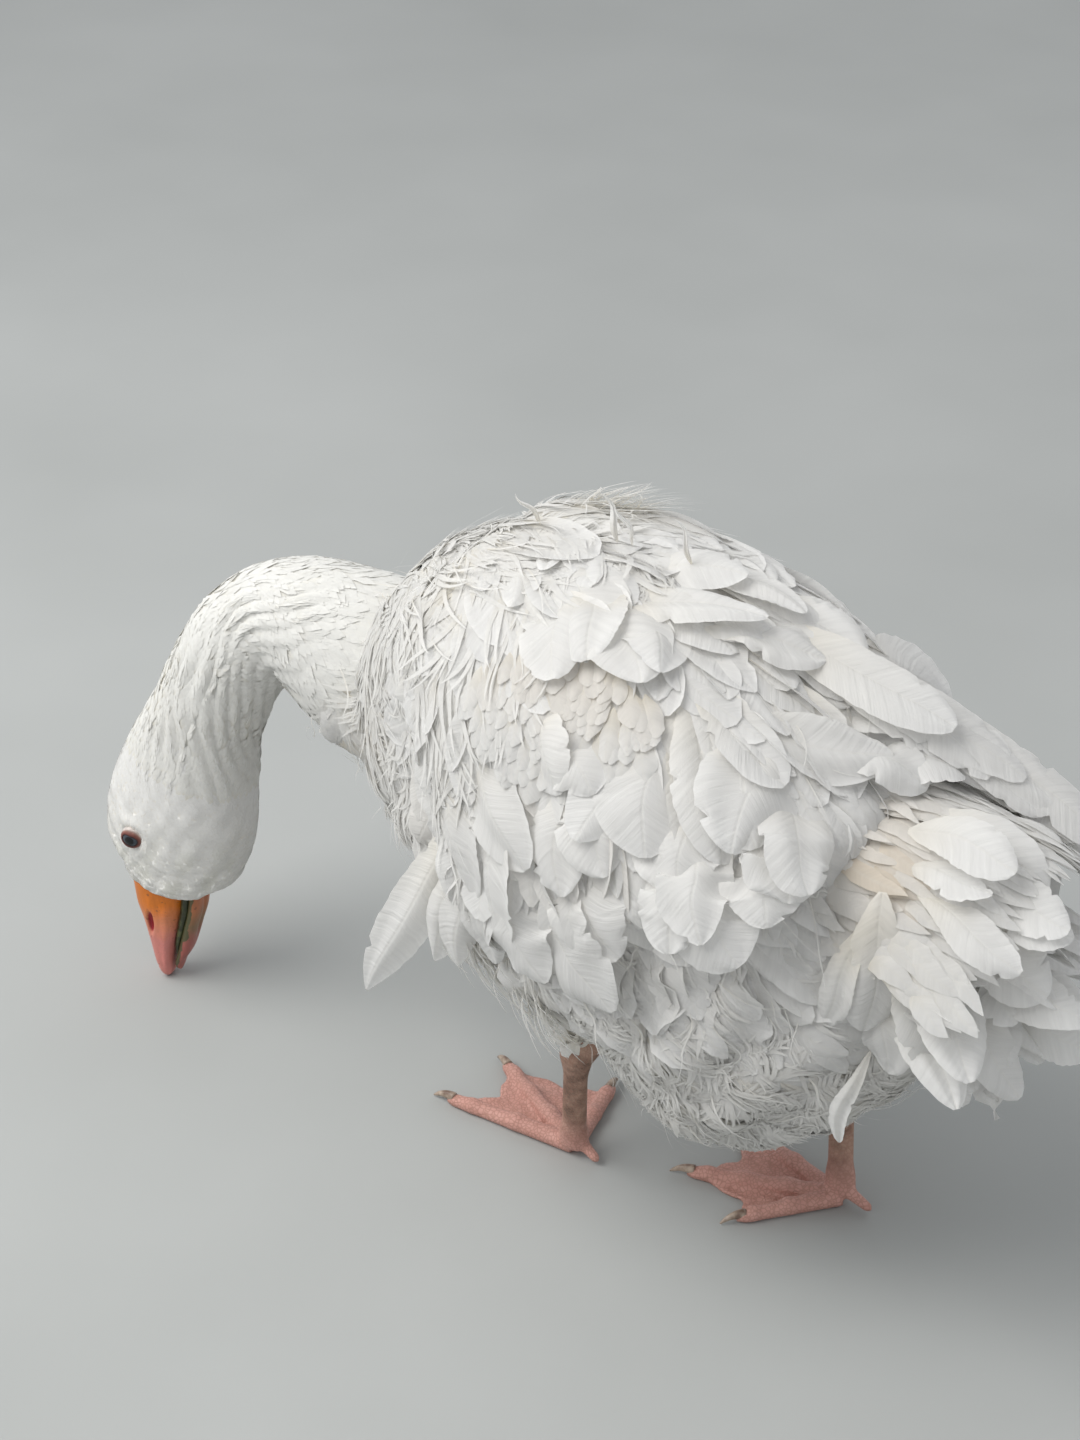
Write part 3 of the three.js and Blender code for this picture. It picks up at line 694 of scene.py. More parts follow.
def claw(leg, heading, length):
    """A claw: an arched cone from inside the toe's end down to the floor."""
    u = np.linspace(0, 1, 16)
    height = 4.6 + 1.6 * np.sin(np.pi * u * 0.8) - 4.4 * u**1.6
    radius = 2.9 * (1 - u)**0.75 + 0.35
    path = toe_point(leg, heading, length - 4 + 13.5 * u, height)
    part = tube(path, radius * 0.85, radius, up, 14)
    part[0][:, 2] = np.maximum(part[0][:, 2], 0.05)
    return part


claws = add_mesh("claws", *merge([claw(leg, heading, length) for leg in legs
                                  for heading, length in zip(leg["toes"], toe_lengths)]))
claws.data.materials.append(wandering_material(
    "claw horn", 0.4, 180.0, [(0.35, (0.16, 0.10, 0.07)), (0.65, (0.46, 0.37, 0.29))],
    Specular_IOR_Level=0.5))
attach(claws, "root")


# ---- Bill ----
# Two halves of horn over bone: the upper with a ridge, oval nostrils, a toothed cutting edge and a
# hard nail at the tip; the lower slimmer, hanging a little open, with the dark tongue between.

bill_base = (137.5, 61.0)
bill_length = 61.4
bill_lean = 1.5
upper_rows = [(-12, 21, -17, 15), (6, 17.8, -12.5, 14.2), (20, 13.8, -9, 12.6), (36, 10, -5.5, 11),
              (50, 7, -3.2, 9.2), (57, 4.6, -2.6, 7)]  # distance, upper edge, lower edge, half width
lower_rows = [(-10, -18.5, -25.5, 12.2), (8, -15, -23.5, 11.2), (22, -11.6, -20, 9.8),
              (38, -7.4, -15.5, 8.2), (50, -4.6, -9.4, 6.2)]
tongue_rows = [(-9, -12, -20, 10.5), (8, -10, -18, 9.8), (22, -7.5, -14, 8.4), (38, -5, -9.5, 6.4)]
lower_reach, tongue_reach = 56, 50
bill_around = 120
nostril = {"distance": 18.5, "crownward": 6.2, "length": 7.8, "height": 1.9, "depth": 2.6}


def bill_point(distance, crownward, left):
    """A point from its distance along the bill, its height towards the crown and its offset
    leftward; the bill leans ahead a little towards its tip."""
    lean = bill_lean * distance / bill_length
    return neck_point(bill_base[0] + lean + crownward, bill_base[1] - distance, left)


def bill_half(rows, reach, shape, along=150, around=bill_around):
    """A half of the bill: rounded sections between its edge lines, closing to a round tip."""
    rows = np.array(rows, float)
    first, last = rows[0, 0], rows[-1]
    turn = np.arccos(1 - 2 * (rows[:, 0] - first) / (reach - first)) / np.pi
    tip = (last[1] + last[2]) / 2
    line = lambda column, end: smooth_line([*zip(turn, rows[:, column]), (1, end)])
    around_it = np.arange(around) * 2 * np.pi / around
    t, angle = np.meshgrid(np.linspace(0, 0.999, along), around_it, indexing="ij")
    distance = first + (reach - first) * (1 - np.cos(np.pi * t)) / 2
    upper, lower, half = line(1, tip)(t), line(2, tip)(t), line(3, 0)(t)
    crownward = (upper + lower) / 2 + (upper - lower) / 2 * signed_power(np.sin(angle), 0.9)
    left = half * signed_power(np.cos(angle), 0.8)
    crownward, left = shape(distance, crownward, left, angle, reach)
    return loft(bill_point(distance, crownward, left)), distance, crownward


def nostril_hole(distance, crownward, longer=1.0, higher=1.0):
    """1 inside the nostril and 0 outside it: exp(-r^4), where r^2 is that of its oval."""
    along = (distance - nostril["distance"]) / (nostril["length"] * longer)
    upward = (crownward - nostril["crownward"]) / (nostril["height"] * higher)
    return bell(along**2 + upward**2)


def teeth(distance, pitch):
    return 0.5 + 0.5 * np.sin(distance * 2 * np.pi / pitch)


def upper_shape(distance, crownward, left, angle, reach):
    """Sinks the nostrils, cuts small teeth along the lower edge and sets the nail off by a groove."""
    side = np.sign(left)
    left = left - side * nostril_hole(distance, crownward) * nostril["depth"]
    edge = bell((np.sin(angle) + 0.45) / 0.22) * smoothstep(distance, 4, 10)
    toothed = 0.5 + 0.35 * teeth(distance, 2.3)
    left = left + side * edge * toothed * smoothstep(reach - distance, 6, 14)
    groove = bell(distance - 49.5 - 0.04 * left**2) * (np.sin(angle) > 0)
    return crownward - groove * 0.7, left


def lower_shape(distance, crownward, left, angle, reach):
    """Cuts small teeth along the upper edge and a furrow between the arms of the lower jaw."""
    edge = bell((np.sin(angle) - 0.5) / 0.2) * smoothstep(distance, 4, 10)
    left = left + np.sign(left) * edge * 0.4 * teeth(distance, 2.6)
    furrow = bell(left / 2.2) * (np.sin(angle) < 0) * smoothstep(distance, 34, 20)
    return crownward + furrow * 1.4, left


def tongue_shape(distance, crownward, left, angle, reach):
    return crownward, left + np.sign(left) * 0.3 * np.sin(distance * 2.6)


def put_marks(piece, *channels, rest=1.0):
    """Stores up to three shading values at each point; where there are none the value is rest."""
    marks = np.full((len(piece.data.vertices), 4), rest, np.float32)
    marks[:, 3] = 1
    for k, values in enumerate(channels):
        marks[:np.size(values), k] = np.ravel(values)
    attribute = piece.data.attributes.new("marks", "FLOAT_COLOR", "POINT")
    attribute.data.foreach_set("color", marks.ravel())


def bill_piece(name, rows, reach, shape):
    part, distance, crownward = bill_half(rows, reach, shape)
    part[0][:, 2] = np.maximum(part[0][:, 2], 0.02)
    piece = add_mesh(name, *part)
    hole = smoothstep(nostril_hole(distance, crownward, 1.02, 1.1), 0.3, 0.7) * (name == "bill_upper")
    height = (np.sin(np.arange(bill_around) * np.pi / 60) + 1) / 2
    put_marks(piece, hole, (distance / bill_length).clip(0, 1), np.tile(height, len(distance)), rest=0.0)
    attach(piece, "root")
    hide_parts(name)
    return piece


def bill_material(name, base, middle, tip, stain):
    """Horn from base to tip colour, with scratches along it, dark specks and stained hollows."""
    material, tree, shader = new_material(name, 0.42, Specular_IOR_Level=0.45, Coat_Weight=0.1)
    hole, reach, rise = mark_values(tree)
    place = object_place(tree)
    stretched = node(tree, "ShaderNodeMapping", Vector=place, Scale=(300.0, 300.0, 60.0)).outputs[0]
    grain = noise(tree, stretched, 1.0, 4.0, 0.6)
    blotch = noise(tree, place, 110.0, 3.0)
    warped = math_node(tree, "ADD", reach, times(tree, blotch, 0.2))
    colour = ramp(tree, warped, [(0.18, base), (0.4, middle), (0.62, tip)])
    scratches = ramp(tree, grain, [(0.25, 0.78), (0.7, 1.05)])
    colour = shaded(tree, colour, scratches)
    specks = ramp(tree, noise(tree, place, 260.0, 2.0), [(0.66, 0.0), (0.72, 1.0)])
    colour = mix(tree, times(tree, specks, 0.55), colour, (0.12, 0.05, 0.03))
    soil_and_lawn_reflection = ramp(tree, math_node(tree, "ADD", blotch, rise), [(0.95, 0.0), (1.15, 1.0)])
    colour = mix(tree, times(tree, soil_and_lawn_reflection, stain), colour, (0.055, 0.07, 0.025))
    dress(tree, shader, mix(tree, hole, colour, (0.27, 0.004, 0.014)), grain, 0.5, 0.0004)
    return material


bill_upper = bill_piece("bill_upper", upper_rows, bill_length, upper_shape)
bill_upper.data.materials.append(bill_material(
    "upper bill horn", (0.68, 0.18, 0.010), (0.68, 0.23, 0.11), (0.68, 0.235, 0.20), 0.08))
bill_lower = bill_piece("bill_lower", lower_rows, lower_reach, lower_shape)
bill_lower.data.materials.append(bill_material(
    "lower bill horn", (0.44, 0.15, 0.06), (0.22, 0.13, 0.06), (0.36, 0.10, 0.08), 0.9))

tongue = add_mesh("tongue", *bill_half(tongue_rows, tongue_reach, tongue_shape, 60, 40)[0])
tongue.data.materials.append(wandering_material(
    "tongue skin", 0.35, 120.0, [(0.4, (0.025, 0.03, 0.01)), (0.66, (0.10, 0.12, 0.04))],
    Specular_IOR_Level=0.5))
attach(tongue, "root")


# ---- Eyes and lids ----
# A wet dark ball with a grey-blue iris round its pupil, held by two narrow reddish-brown lids whose
# opening is a little pointed towards the bill and the nape.

def dome(side, radius, inner, outer, rows, around, lift=None):
    """Part of a sphere about the eye's outward axis, between two polar angles."""
    axis = across * side
    centre = neck_point(eye["ahead"], eye["z"], side * eye["across"])
    turn = np.arange(around) * 2 * np.pi / around
    share = np.linspace(0, 1, rows)[:, None]
    polar = inner(turn) + (outer(turn) - inner(turn)) * share
    size = radius if lift is None else radius + lift(share)
    out = np.cos(polar)[..., None] * axis
    flat = np.cos(turn)[:, None] * ahead - np.sin(turn)[:, None] * up
    return centre + (out + np.sin(polar)[..., None] * flat) * np.asarray(size)[..., None], polar


eyeball, tree, shader = new_material("eye", 0.1, Specular_IOR_Level=0.4)
dress(tree, shader, ramp(tree, mark_values(tree)[0], [
    (0.0, (0.004, 0.004, 0.005)), (0.25, (0.005, 0.005, 0.007)), (0.28, (0.035, 0.045, 0.056)),
    (0.40, (0.045, 0.056, 0.07)), (0.52, (0.02, 0.008, 0.006))]))  # pupil, iris, dark rim
lid_skin, tree, shader = new_material("lid skin", 0.55, Specular_IOR_Level=0.4)
lid_colour = ramp(tree, mark_values(tree)[0], [
    (0.0, (0.05, 0.014, 0.012)), (0.22, (0.15, 0.045, 0.035)), (0.42, (0.22, 0.08, 0.06)),
    (0.6, (0.26, 0.15, 0.12)), (0.85, (0.62, 0.56, 0.52))])  # dark at the opening, pale outside
lid_noise = ramp(tree, noise(tree, object_place(tree), 500.0, 3.0), [(0.3, 0.6), (0.7, 1.1)])
dress(tree, shader, shaded(tree, lid_colour, lid_noise))


def lid_opening(turn):
    """Polar angle of the lids' edge: round above and below, pointed towards bill and nape."""
    return np.radians(27 + 17 * np.abs(np.cos(turn + 0.28))**2.2)


def lid_swell(share):
    return 0.3 + 0.3 * np.sin(np.pi * np.clip(share * 1.15, 0, 1))


for name, side in (("eye_left", 1), ("eye_right", -1)):
    rings, polar = dome(side, eye["radius"], lambda a: 0.02 + 0 * a, lambda a: 3.12 + 0 * a, 40, 48)
    ball = add_mesh(name, *loft(rings))
    put_marks(ball, polar / np.pi * 2)
    ball.data.materials.append(eyeball)
    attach(ball, "root")
    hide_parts(name)
    rings, polar = dome(side, eye["radius"], lid_opening, lambda a: 1.5 + 0 * a, 14, 72, lid_swell)
    rows, around = polar.shape
    points, quads, _ = loft(rings)
    lids = add_mesh(name.replace("eye", "lids"), points[:-2], quads)
    put_marks(lids, np.repeat(np.linspace(0, 1.5, rows).clip(0, 1), around))
    solid = lids.modifiers.new("thickness", "SOLIDIFY")
    solid.thickness = 0.0004
    solid.offset = -1
    lids.data.materials.append(lid_skin)
    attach(lids, "root")


# ---- Feathers: how one is shaped and laid ----
# Each feather is a thin vane on both sides of its quill. It grows from the skin, follows the body,
# rises towards its tip so that it covers the next one's root, and curls as this breed's feathers do.

grid_at = np.linspace(0.4, spine_length - 0.4, 1000)
grid_step = grid_at[1] - grid_at[0]
grid_columns = 288
narrowest = 4.0  # least stretch round the spine, in mm per radian, that a turn is worked out with
lie_at, lie_angle, lie_points = full_grid(grid_at, grid_columns)
lie_along = np.gradient(lie_points, grid_at, axis=0)
lie_around = (np.roll(lie_points, -1, 1) - np.roll(lie_points, 1, 1)) * grid_columns / (4 * np.pi)
lie_normal = unit(np.cross(lie_around, lie_along))
lie_table = np.concatenate([
    lie_points, lie_normal, np.linalg.norm(lie_along, axis=-1, keepdims=True),
    np.linalg.norm(lie_around, axis=-1, keepdims=True)], -1)


def skin_at_roots(at, angle):
    """Rows of point, normal and both stretches of the skin, read from the table between its nodes."""
    i = np.clip((at - grid_at[0]) / grid_step, 0, len(grid_at) - 1.001)
    j = np.mod(angle / (2 * np.pi), 1) * grid_columns
    i0, j0 = i.astype(int), j.astype(int) % grid_columns
    u, v = (i - i0)[..., None], (j - np.floor(j))[..., None]
    i1, j1 = i0 + 1, (j0 + 1) % grid_columns
    return (lie_table[i0, j0] * (1 - u) + lie_table[i1, j0] * u) * (1 - v) \
        + (lie_table[i0, j1] * (1 - u) + lie_table[i1, j1] * u) * v


def skin_points(at, angle):
    return skin_at_roots(at, angle)[..., :3]


def scatter(spacing, where, seed):
    """Even random roots: area-weighted picks on the skin, thinned to one in each cell of space."""
    chance = np.random.default_rng(seed)
    area = lie_table[..., 6] * lie_table[..., 7]
    keep = where(lie_points, lie_at, lie_angle)
    weight = (area * keep).ravel()
    whole_area = weight.sum() * grid_step * 2 * np.pi / grid_columns
    count = int(5 * whole_area / spacing**2)
    picks = np.searchsorted(np.cumsum(weight) / weight.sum(), chance.random(count))
    i, j = np.unravel_index(picks.clip(0, weight.size - 1), area.shape)
    at = grid_at[i] + (chance.random(count) - 0.5) * grid_step
    angle = (j + chance.random(count) - 0.5) * 2 * np.pi / grid_columns
    cells = np.floor(skin_points(at, angle) / spacing + chance.random(3)).astype(np.int64)
    cell_number = cells @ np.array([1, 100003, 10000600009])
    _, first = np.unique(cell_number, return_index=True)
    return at[first], angle[first], chance


def lay(at, angle, heading, length, lift, rows, bend=0.0, sink=-0.5, tip_rise=0.0):
    """Paths of feathers over the skin: from the root they run at a heading, 0 tailward and positive
    towards growing angles, turn by bend along their length, and rise by lift and tip_rise."""
    u = np.linspace(0, 1, rows)
    path, normals = [], []
    for k in range(rows):
        row = skin_at_roots(at, angle)
        height = sink + lift * u[k]**0.7 + tip_rise * u[k]**3
        point = row[:, :3] + row[:, 3:6] * np.broadcast_to(height, at.shape)[:, None]
        if k > 1:
            beyond = path[-1] * 2 - path[-2]
            point = np.where((at < 9)[:, None], beyond, point)
        path.append(point)
        normals.append(row[:, 3:6])
        turn = heading + bend * u[k]
        step = length / (rows - 1)
        at = np.maximum(at - np.cos(turn) * step / row[:, 6], 2)
        angle = angle + np.sin(turn) * step / np.maximum(row[:, 7], narrowest)
    return np.stack(path, 1), np.stack(normals, 1), u


def column(values):
    return np.reshape(values, (-1, 1))


def in_air(roots, tips, facing, bow, rows, sag=0.0):
    """Paths of free feathers from root to tip, bowed along the facing vector by bow * 4u(1 - u) and
    sagging down by sag * u^2."""
    u = np.linspace(0, 1, rows)
    line = tips - roots
    side = unit(np.cross(line, facing))
    normal = unit(np.cross(side, line))
    path = roots[:, None] + line[:, None] * u[None, :, None]
    path = path + normal[:, None] * (column(bow) * 4 * u * (1 - u))[..., None]
    path = path - up * (column(sag) * u**2)[..., None]
    return path, np.broadcast_to(normal[:, None], path.shape), u


def feathers(name, laid, width, roots, material, chance, columns=5, fullness=1.5, roundness=0.5,
             cup=0.1, roll=0.0, twist=0.0, wave=0.0, fray=0.1, split=0.0, rib=0.0, sway=0.0, fold=0.0,
             tint=0.0):
    """Joined vanes along laid paths: each row spans the width's outline sin(pi u^fullness)^roundness.
    The quill sways, the edges are notched by fray and now and then split, and the vane is bent down
    by cup, rolled and twisted about the quill, waved towards the rim, folded lengthways and ribbed
    along the slanting barbs. Each feather's baking map is a small patch round its root's own place
    on the skin's unwrap."""
    path, normals, u = laid
    count, rows, _ = path.shape
    tangent = unit(np.gradient(path, axis=1))
    swing = column(sway) * np.sin(u * 6 + chance.uniform(0, 6.3, (count, 1))) * u
    path = path + np.cross(tangent, normals) * swing[..., None]
    tangent = unit(np.gradient(path, axis=1))
    side = unit(np.cross(tangent, normals))
    rise = np.cross(side, tangent)
    turn = column(roll) + column(twist) * u
    side, rise = (side * np.cos(turn)[..., None] + rise * np.sin(turn)[..., None],
                  rise * np.cos(turn)[..., None] - side * np.sin(turn)[..., None])
    shape = (0.02 + 0.975 * u)**column(fullness)
    outline = np.sin(np.pi * shape).clip(0)**column(roundness)
    half = column(width) / 2 * outline
    x = np.linspace(-1, 1, columns)
    long = np.linalg.norm(np.diff(path, axis=1), axis=-1).sum(1)
    gaps = (chance.random((count, rows, 2)) > 0.95) * chance.uniform(0.3, 1, (count, rows, 2))
    notch = 1 - fray * chance.random((count, rows, 2))**2 - split * gaps
    edge = 1 - (1 - np.where(x < 0, notch[..., :1], notch[..., 1:])) * np.abs(x)**3
    spread = half[..., None] * x * edge
    one_each = (count, 1, 1)
    phase = chance.uniform(0, 2 * np.pi, one_each)
    flutter = np.reshape(wave, (-1, 1, 1)) * np.abs(x)**1.5 * np.sin(
        u[:, None] * chance.uniform(5, 13, one_each) + phase + 1.8 * np.sign(x))
    barb = u[:, None] * long[:, None, None] - barb_slant * np.abs(spread)
    ribs = rib * np.abs(x) * np.sin(barb * 1.1 + phase) * smoothstep(u, 0.3, 0.8)[:, None]
    fold_turn = chance.uniform(3.5, 6.5, one_each) * x * (0.6 + 0.5 * u[:, None]) + 2 * phase
    unevenness = (flutter + ribs + fold * np.sin(fold_turn)) * outline[..., None]
    drop = unevenness - np.reshape(cup, (-1, 1, 1)) * half[..., None] * x**2
    points = path[:, :, None] + side[:, :, None] * spread[..., None] + rise[:, :, None] * drop[..., None]
    cell = (np.arange(rows - 1)[:, None] * columns + np.arange(columns - 1)).ravel()
    quad = np.stack([cell, cell + columns, cell + columns + 1, cell + 1], -1)
    quads = (quad + np.arange(count)[:, None, None] * rows * columns).reshape(-1, 4)
    piece = add_mesh(name, points.reshape(-1, 3), quads)

    def everywhere(*values):
        return np.stack([np.broadcast_to(value, points.shape[:3]) for value in values], -1)

    at, angle = roots
    vane = everywhere(spread, (u * long[:, None])[..., None]) / 100
    unwrap = np.stack([np.mod(angle / (2 * np.pi), 1), at / spine_length], -1)
    bake = 0.01 + 0.98 * unwrap[:, None, None] + everywhere(x * 0.5, u[:, None] - 0.5) * 0.003
    for title, values in (("vane", vane), ("OFBake", bake)):
        layer = piece.data.uv_layers.new(name=title)
        layer.data.foreach_set("uv", values.reshape(-1, 2)[quads.ravel()].astype(np.float32).ravel())
    marks = everywhere(chance.random(one_each), np.reshape(tint, (-1, 1, 1)), u[:, None])
    put_marks(piece, *marks.reshape(-1, 3).T)
    piece.data.materials.append(material)
    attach(piece, "root")


def nearest_roots(points):
    """Spine parameters and angles of the nearest nodes in a coarse pick of the skin's table."""
    coarse = (slice(None, None, 10), slice(None, None, 8))
    nodes = lie_points[coarse].reshape(-1, 3)
    nearest = [np.argmin(((nodes - point)**2).sum(1)) for point in points]
    return lie_at[coarse].ravel()[nearest], lie_angle[coarse].ravel()[nearest]


down_feather = plumage_material("down", 0.12, 0.3, beige, 0.5)
vane_feather = plumage_material("vane", 0.6, 0.15, beige, 0.42)
head_feather = plumage_material("head down", 0.15, 0.2, stain_and_reflection_green, 0.26)


def downward(angle):
    """+1 where growing angles lead down the body's side, -1 on the left where they lead up."""
    return -np.cos(angle)


# ---- Head and neck feathers ----
# Velvety down on the head, too short to part, and small rounded feathers that grow longer along
# the neck and lie in wavy furrows.

head_down_from = head_at - 44
bare_round_eye = 5.8


def on_head(points, at, angle):
    """From the upper neck to the bill, where neither a root nor the down behind it reaches a lid."""
    clear = np.ones(np.shape(at), bool)
    for back in (0.0, 2.2, 4.4):
        s, c, z = local_place(skin_points(at - back, angle))
        clear &= (np.hypot(s - eye["ahead"], z - eye["z"]) > bare_round_eye) | (np.abs(c) < 14)
    return (at > head_down_from) & clear & (at < spine_length - 14)


at, angle, chance = scatter(1.9, on_head, 11)
size = chance.uniform(0.8, 1.2, len(at)) * np.interp(
    at, [head_down_from, head_at, spine_length - 60, spine_length - 20], [8, 5.5, 4.4, 3])
lift = np.interp(at, [head_down_from, head_at], [0.55, 0.3])
laid = lay(at, angle, chance.normal(0, 0.2, len(at)), size, lift, 4, sink=-0.05)
place = np.stack(local_place(skin_points(at, angle)), -1)
# Painted green reflection of the lawn, greener towards the bottom of the head and in blots.
blots = smoothstep(ripples(place, 16, 12), -0.3, 0.9)
soil_and_lawn_reflection = smoothstep(place[:, 2], 135, 80) * (0.08 + 0.22 * blots)
feathers("head_down", laid, size * 0.62, (at, angle), head_feather, chance, columns=3,
         fullness=1.2, cup=0.04, tint=soil_and_lawn_reflection, fray=0.0)

neck_middle = (neck_base_at + head_at) / 2
for part, low, high, spacing, seed in (("upper", neck_middle, head_at - 20, 2.6, 21),
                                       ("lower", neck_base_at - 40, neck_middle, 3.4, 22)):
    at, angle, chance = scatter(spacing, lambda p, a, g: (a > low) & (a < high), seed)
    size = np.interp(at, [neck_base_at, neck_middle, head_at], [26, 14, 7])
    size = size * chance.uniform(0.8, 1.2, len(at))
    points = skin_points(at, angle)
    swirl = 0.45 * ripples(points, 40, 8) + chance.normal(0, 0.12, len(at))
    lift = np.interp(at, [neck_base_at, neck_middle, head_at - 25, head_at], [2.3, 1.0, 0.6, 0.4]) * (
        1 + 0.2 * ripples(points, 14, 6) + chance.normal(0, 0.04, len(at)))
    laid = lay(at, angle, swirl, size, lift, 6, bend=0.5 * ripples(points, 30, 7), sink=0.2)
    # An even share of the head's painted green reflection of the lawn on every neck feather.
    feathers(f"neck_{part}_feathers", laid, size * 0.32, (at, angle), head_feather, chance,
             columns=3, fullness=1.0, roundness=0.7, cup=0.12, tint=0.12)


# ---- Body down ----
# Soft, lumpy body feathers on breast, flanks, belly, thighs and rump, and over them fine curled
# strands that grow in locks.

body_end_at = neck_base_at - 10


def on_wing(points):
    """How far points lie inside the outline of the folded wing, seen from the side."""
    return inside_outline(points[..., 0], points[..., 2], wing_outline)


def body_part(points, at, rear):
    """The front or the rear part of the body outside the wing."""
    return (at < body_end_at) & (on_wing(points) < 6) & ((points[..., 0] > 30) == rear)


for part, seed in (("front", 31), ("rear", 32)):
    at, angle, chance = scatter(5.4, lambda p, a, g: body_part(p, a, part == "rear"), seed)
    points = skin_points(at, angle)
    by_hock = bell(np.linalg.norm(points - (-52, -56, 112), axis=-1) / 34)
    size = chance.uniform(24, 44, len(at)) * np.interp(points[:, 2], [70, 120], [0.75, 1])
    size = size * (1 - 0.5 * by_hock)
    heading = 1.1 * ripples(points, 52, 9) + chance.normal(0, 0.12, len(at)) + downward(angle) * 0.5
    lift = (3.4 + 1.8 * ripples(points, 30, 13) + chance.normal(0, 0.3, len(at))) * (1 - 0.4 * by_hock)
    laid = lay(at, angle, heading, size, lift, 8,
               bend=1.5 * ripples(points, 34, 10) + chance.normal(0, 0.2, len(at)), sink=2.0)
    feathers(f"body_down_{part}", laid, chance.uniform(8, 14, len(at)), (at, angle), down_feather,
             chance, columns=3, fullness=1.1, roundness=0.7, cup=0.12, fray=0.25)


def locks(at, angle, chance, strands, across_root, meeting):
    """Roots and heading offsets of the strands of each lock, which start apart and lean together."""
    offset = np.tile(np.linspace(-0.5, 0.5, strands), len(at))
    at, angle = np.repeat(at, strands), np.repeat(angle, strands)
    aside = across_root * offset
    angle = angle + aside / np.maximum(skin_at_roots(at, angle)[:, 7], narrowest)
    at = at + chance.normal(0, 1.5, len(at))
    return at, angle, -meeting * offset + chance.normal(0, 0.05, len(at))


def either_way(chance, count, least, most):
    """Bends to one side or the other, by between least and most radians."""
    return chance.choice([-1, 1], count) * chance.uniform(least, most, count)


strands = 8
at, angle, chance = scatter(13, lambda p, a, g: (a < neck_base_at - 34) & (on_wing(p) < 6), 35)
points = np.repeat(skin_points(at, angle), strands, 0)
size = np.repeat(chance.uniform(26, 46, len(at)), strands)
own_heading = np.repeat(chance.normal(0, 0.3, len(at)), strands)
own_bend = np.repeat(either_way(chance, len(at), 0.5, 1.9), strands)
own_bend = own_bend * (0.6 + 0.6 * smoothstep(points[:, 2], 150, 110))
at, angle, lean = locks(at, angle, chance, strands, 14, 0.7)
heading = own_heading + lean + downward(angle) * 0.5 + 0.9 * ripples(points, 52, 9)
laid = lay(at, angle, heading, size, 3.8 + 1.8 * ripples(points, 30, 13), 9, sink=3.0,
           bend=own_bend + chance.normal(0, 0.12, len(at)), tip_rise=1.5 * chance.random(len(at)))
feathers("body_curls", laid, chance.uniform(1.8, 3.8, len(at)), (at, angle), down_feather,
         chance, columns=2, fullness=0.85, roundness=0.8, sway=0.6)


def under_belly(points, at, angle):
    """The belly and flanks, but for a space round the left hock."""
    clear = np.linalg.norm(points - np.array([-56, -56, 100]), axis=-1) > 36
    return (at < neck_base_at - 30) & (points[..., 2] < 152) & (points[..., 0] > -60) & clear


strands = 13
at, angle, chance = scatter(14.5, under_belly, 36)
size = np.repeat(chance.uniform(30, 46, len(at)), strands)
own_bend = np.repeat(either_way(chance, len(at), 1.6, 3.0), strands)
own_heading = np.repeat(chance.normal(0, 0.4, len(at)), strands)
at, angle, lean = locks(at, angle, chance, strands, 19, 1.1)
laid = lay(at, angle, own_heading + lean + downward(angle) * 0.4, size, 2.6, 10,
           bend=own_bend + chance.normal(0, 0.1, len(at)), sink=4.0, tip_rise=1.2)
feathers("belly_locks", laid, chance.uniform(1.6, 3.2, len(at)), (at, angle), down_feather,
         chance, columns=2, fullness=0.8, roundness=0.8, sway=0.4)


# ---- Wing coverts ----
# Rounded coverts over the folded wing, hanging down on its front half and sweeping back behind.

def cream_patch(points):
    """Beige down that shows where the scapulars end and at the edge of the breast."""
    gap = np.linalg.norm((points - np.array([-28, -90, 316])) / (34, 20, 16), axis=-1)
    edge = np.linalg.norm((points - np.array([-122, -88, 262])) / (14, 20, 30), axis=-1)
    return 0.12 * bell(gap) + 0.12 * bell(edge)


def covert_lie(points, angle, chance):
    """Heading of the wing's feathers: down and a little forward at the shoulder, back at the rear."""
    fall = np.interp(points[:, 0], [-150, -70, 0, 60, 115], [2.1, 1.8, 1.45, 0.8, 0.3])
    fall = fall * np.where(points[:, 1] > 0, 0.55, 1)
    return downward(angle) * fall + 0.35 * ripples(points, 80, 14) + chance.normal(0, 0.12, len(points))


for name, side, seed in (("left", -1, 41), ("right", 1, 42)):
    at, angle, chance = scatter(
        10.4, lambda p, a, g: (a < body_end_at) & (on_wing(p) > 2) & (p[..., 1] * side > 0), seed)
    points, count = skin_points(at, angle), len(at)
    size = chance.uniform(38, 92, count)
    lift = 4.5 + 1.5 * ripples(points, 40, 45) + chance.normal(0, 0.6, count)
    laid = lay(at, angle, covert_lie(points, angle, chance), size, lift, 17,
               bend=0.5 * ripples(points, 50, 15) + chance.normal(0, 0.25, count),
               tip_rise=np.abs(chance.normal(0, 1.2, count)), sink=1.5)
    feathers(f"coverts_{name}", laid, size * chance.uniform(0.28, 0.5, count), (at, angle), vane_feather,
             chance, columns=8, fullness=chance.normal(1.4, 0.16, count),
             roundness=chance.uniform(0.4, 0.75, count), cup=chance.normal(0.12, 0.15, count),
             roll=chance.normal(0, 0.08, count), twist=chance.normal(0, 0.18, count),
             sway=2.0, wave=0.5, fray=0.05, split=0.3, rib=0.2, fold=0.9, tint=cream_patch(points))


# ---- Mantle plumes ----
# A bed of broad feathers over the shoulders and the ridge of the back, and on it long thin curled
# plumes in sheaves, falling forwards and down.

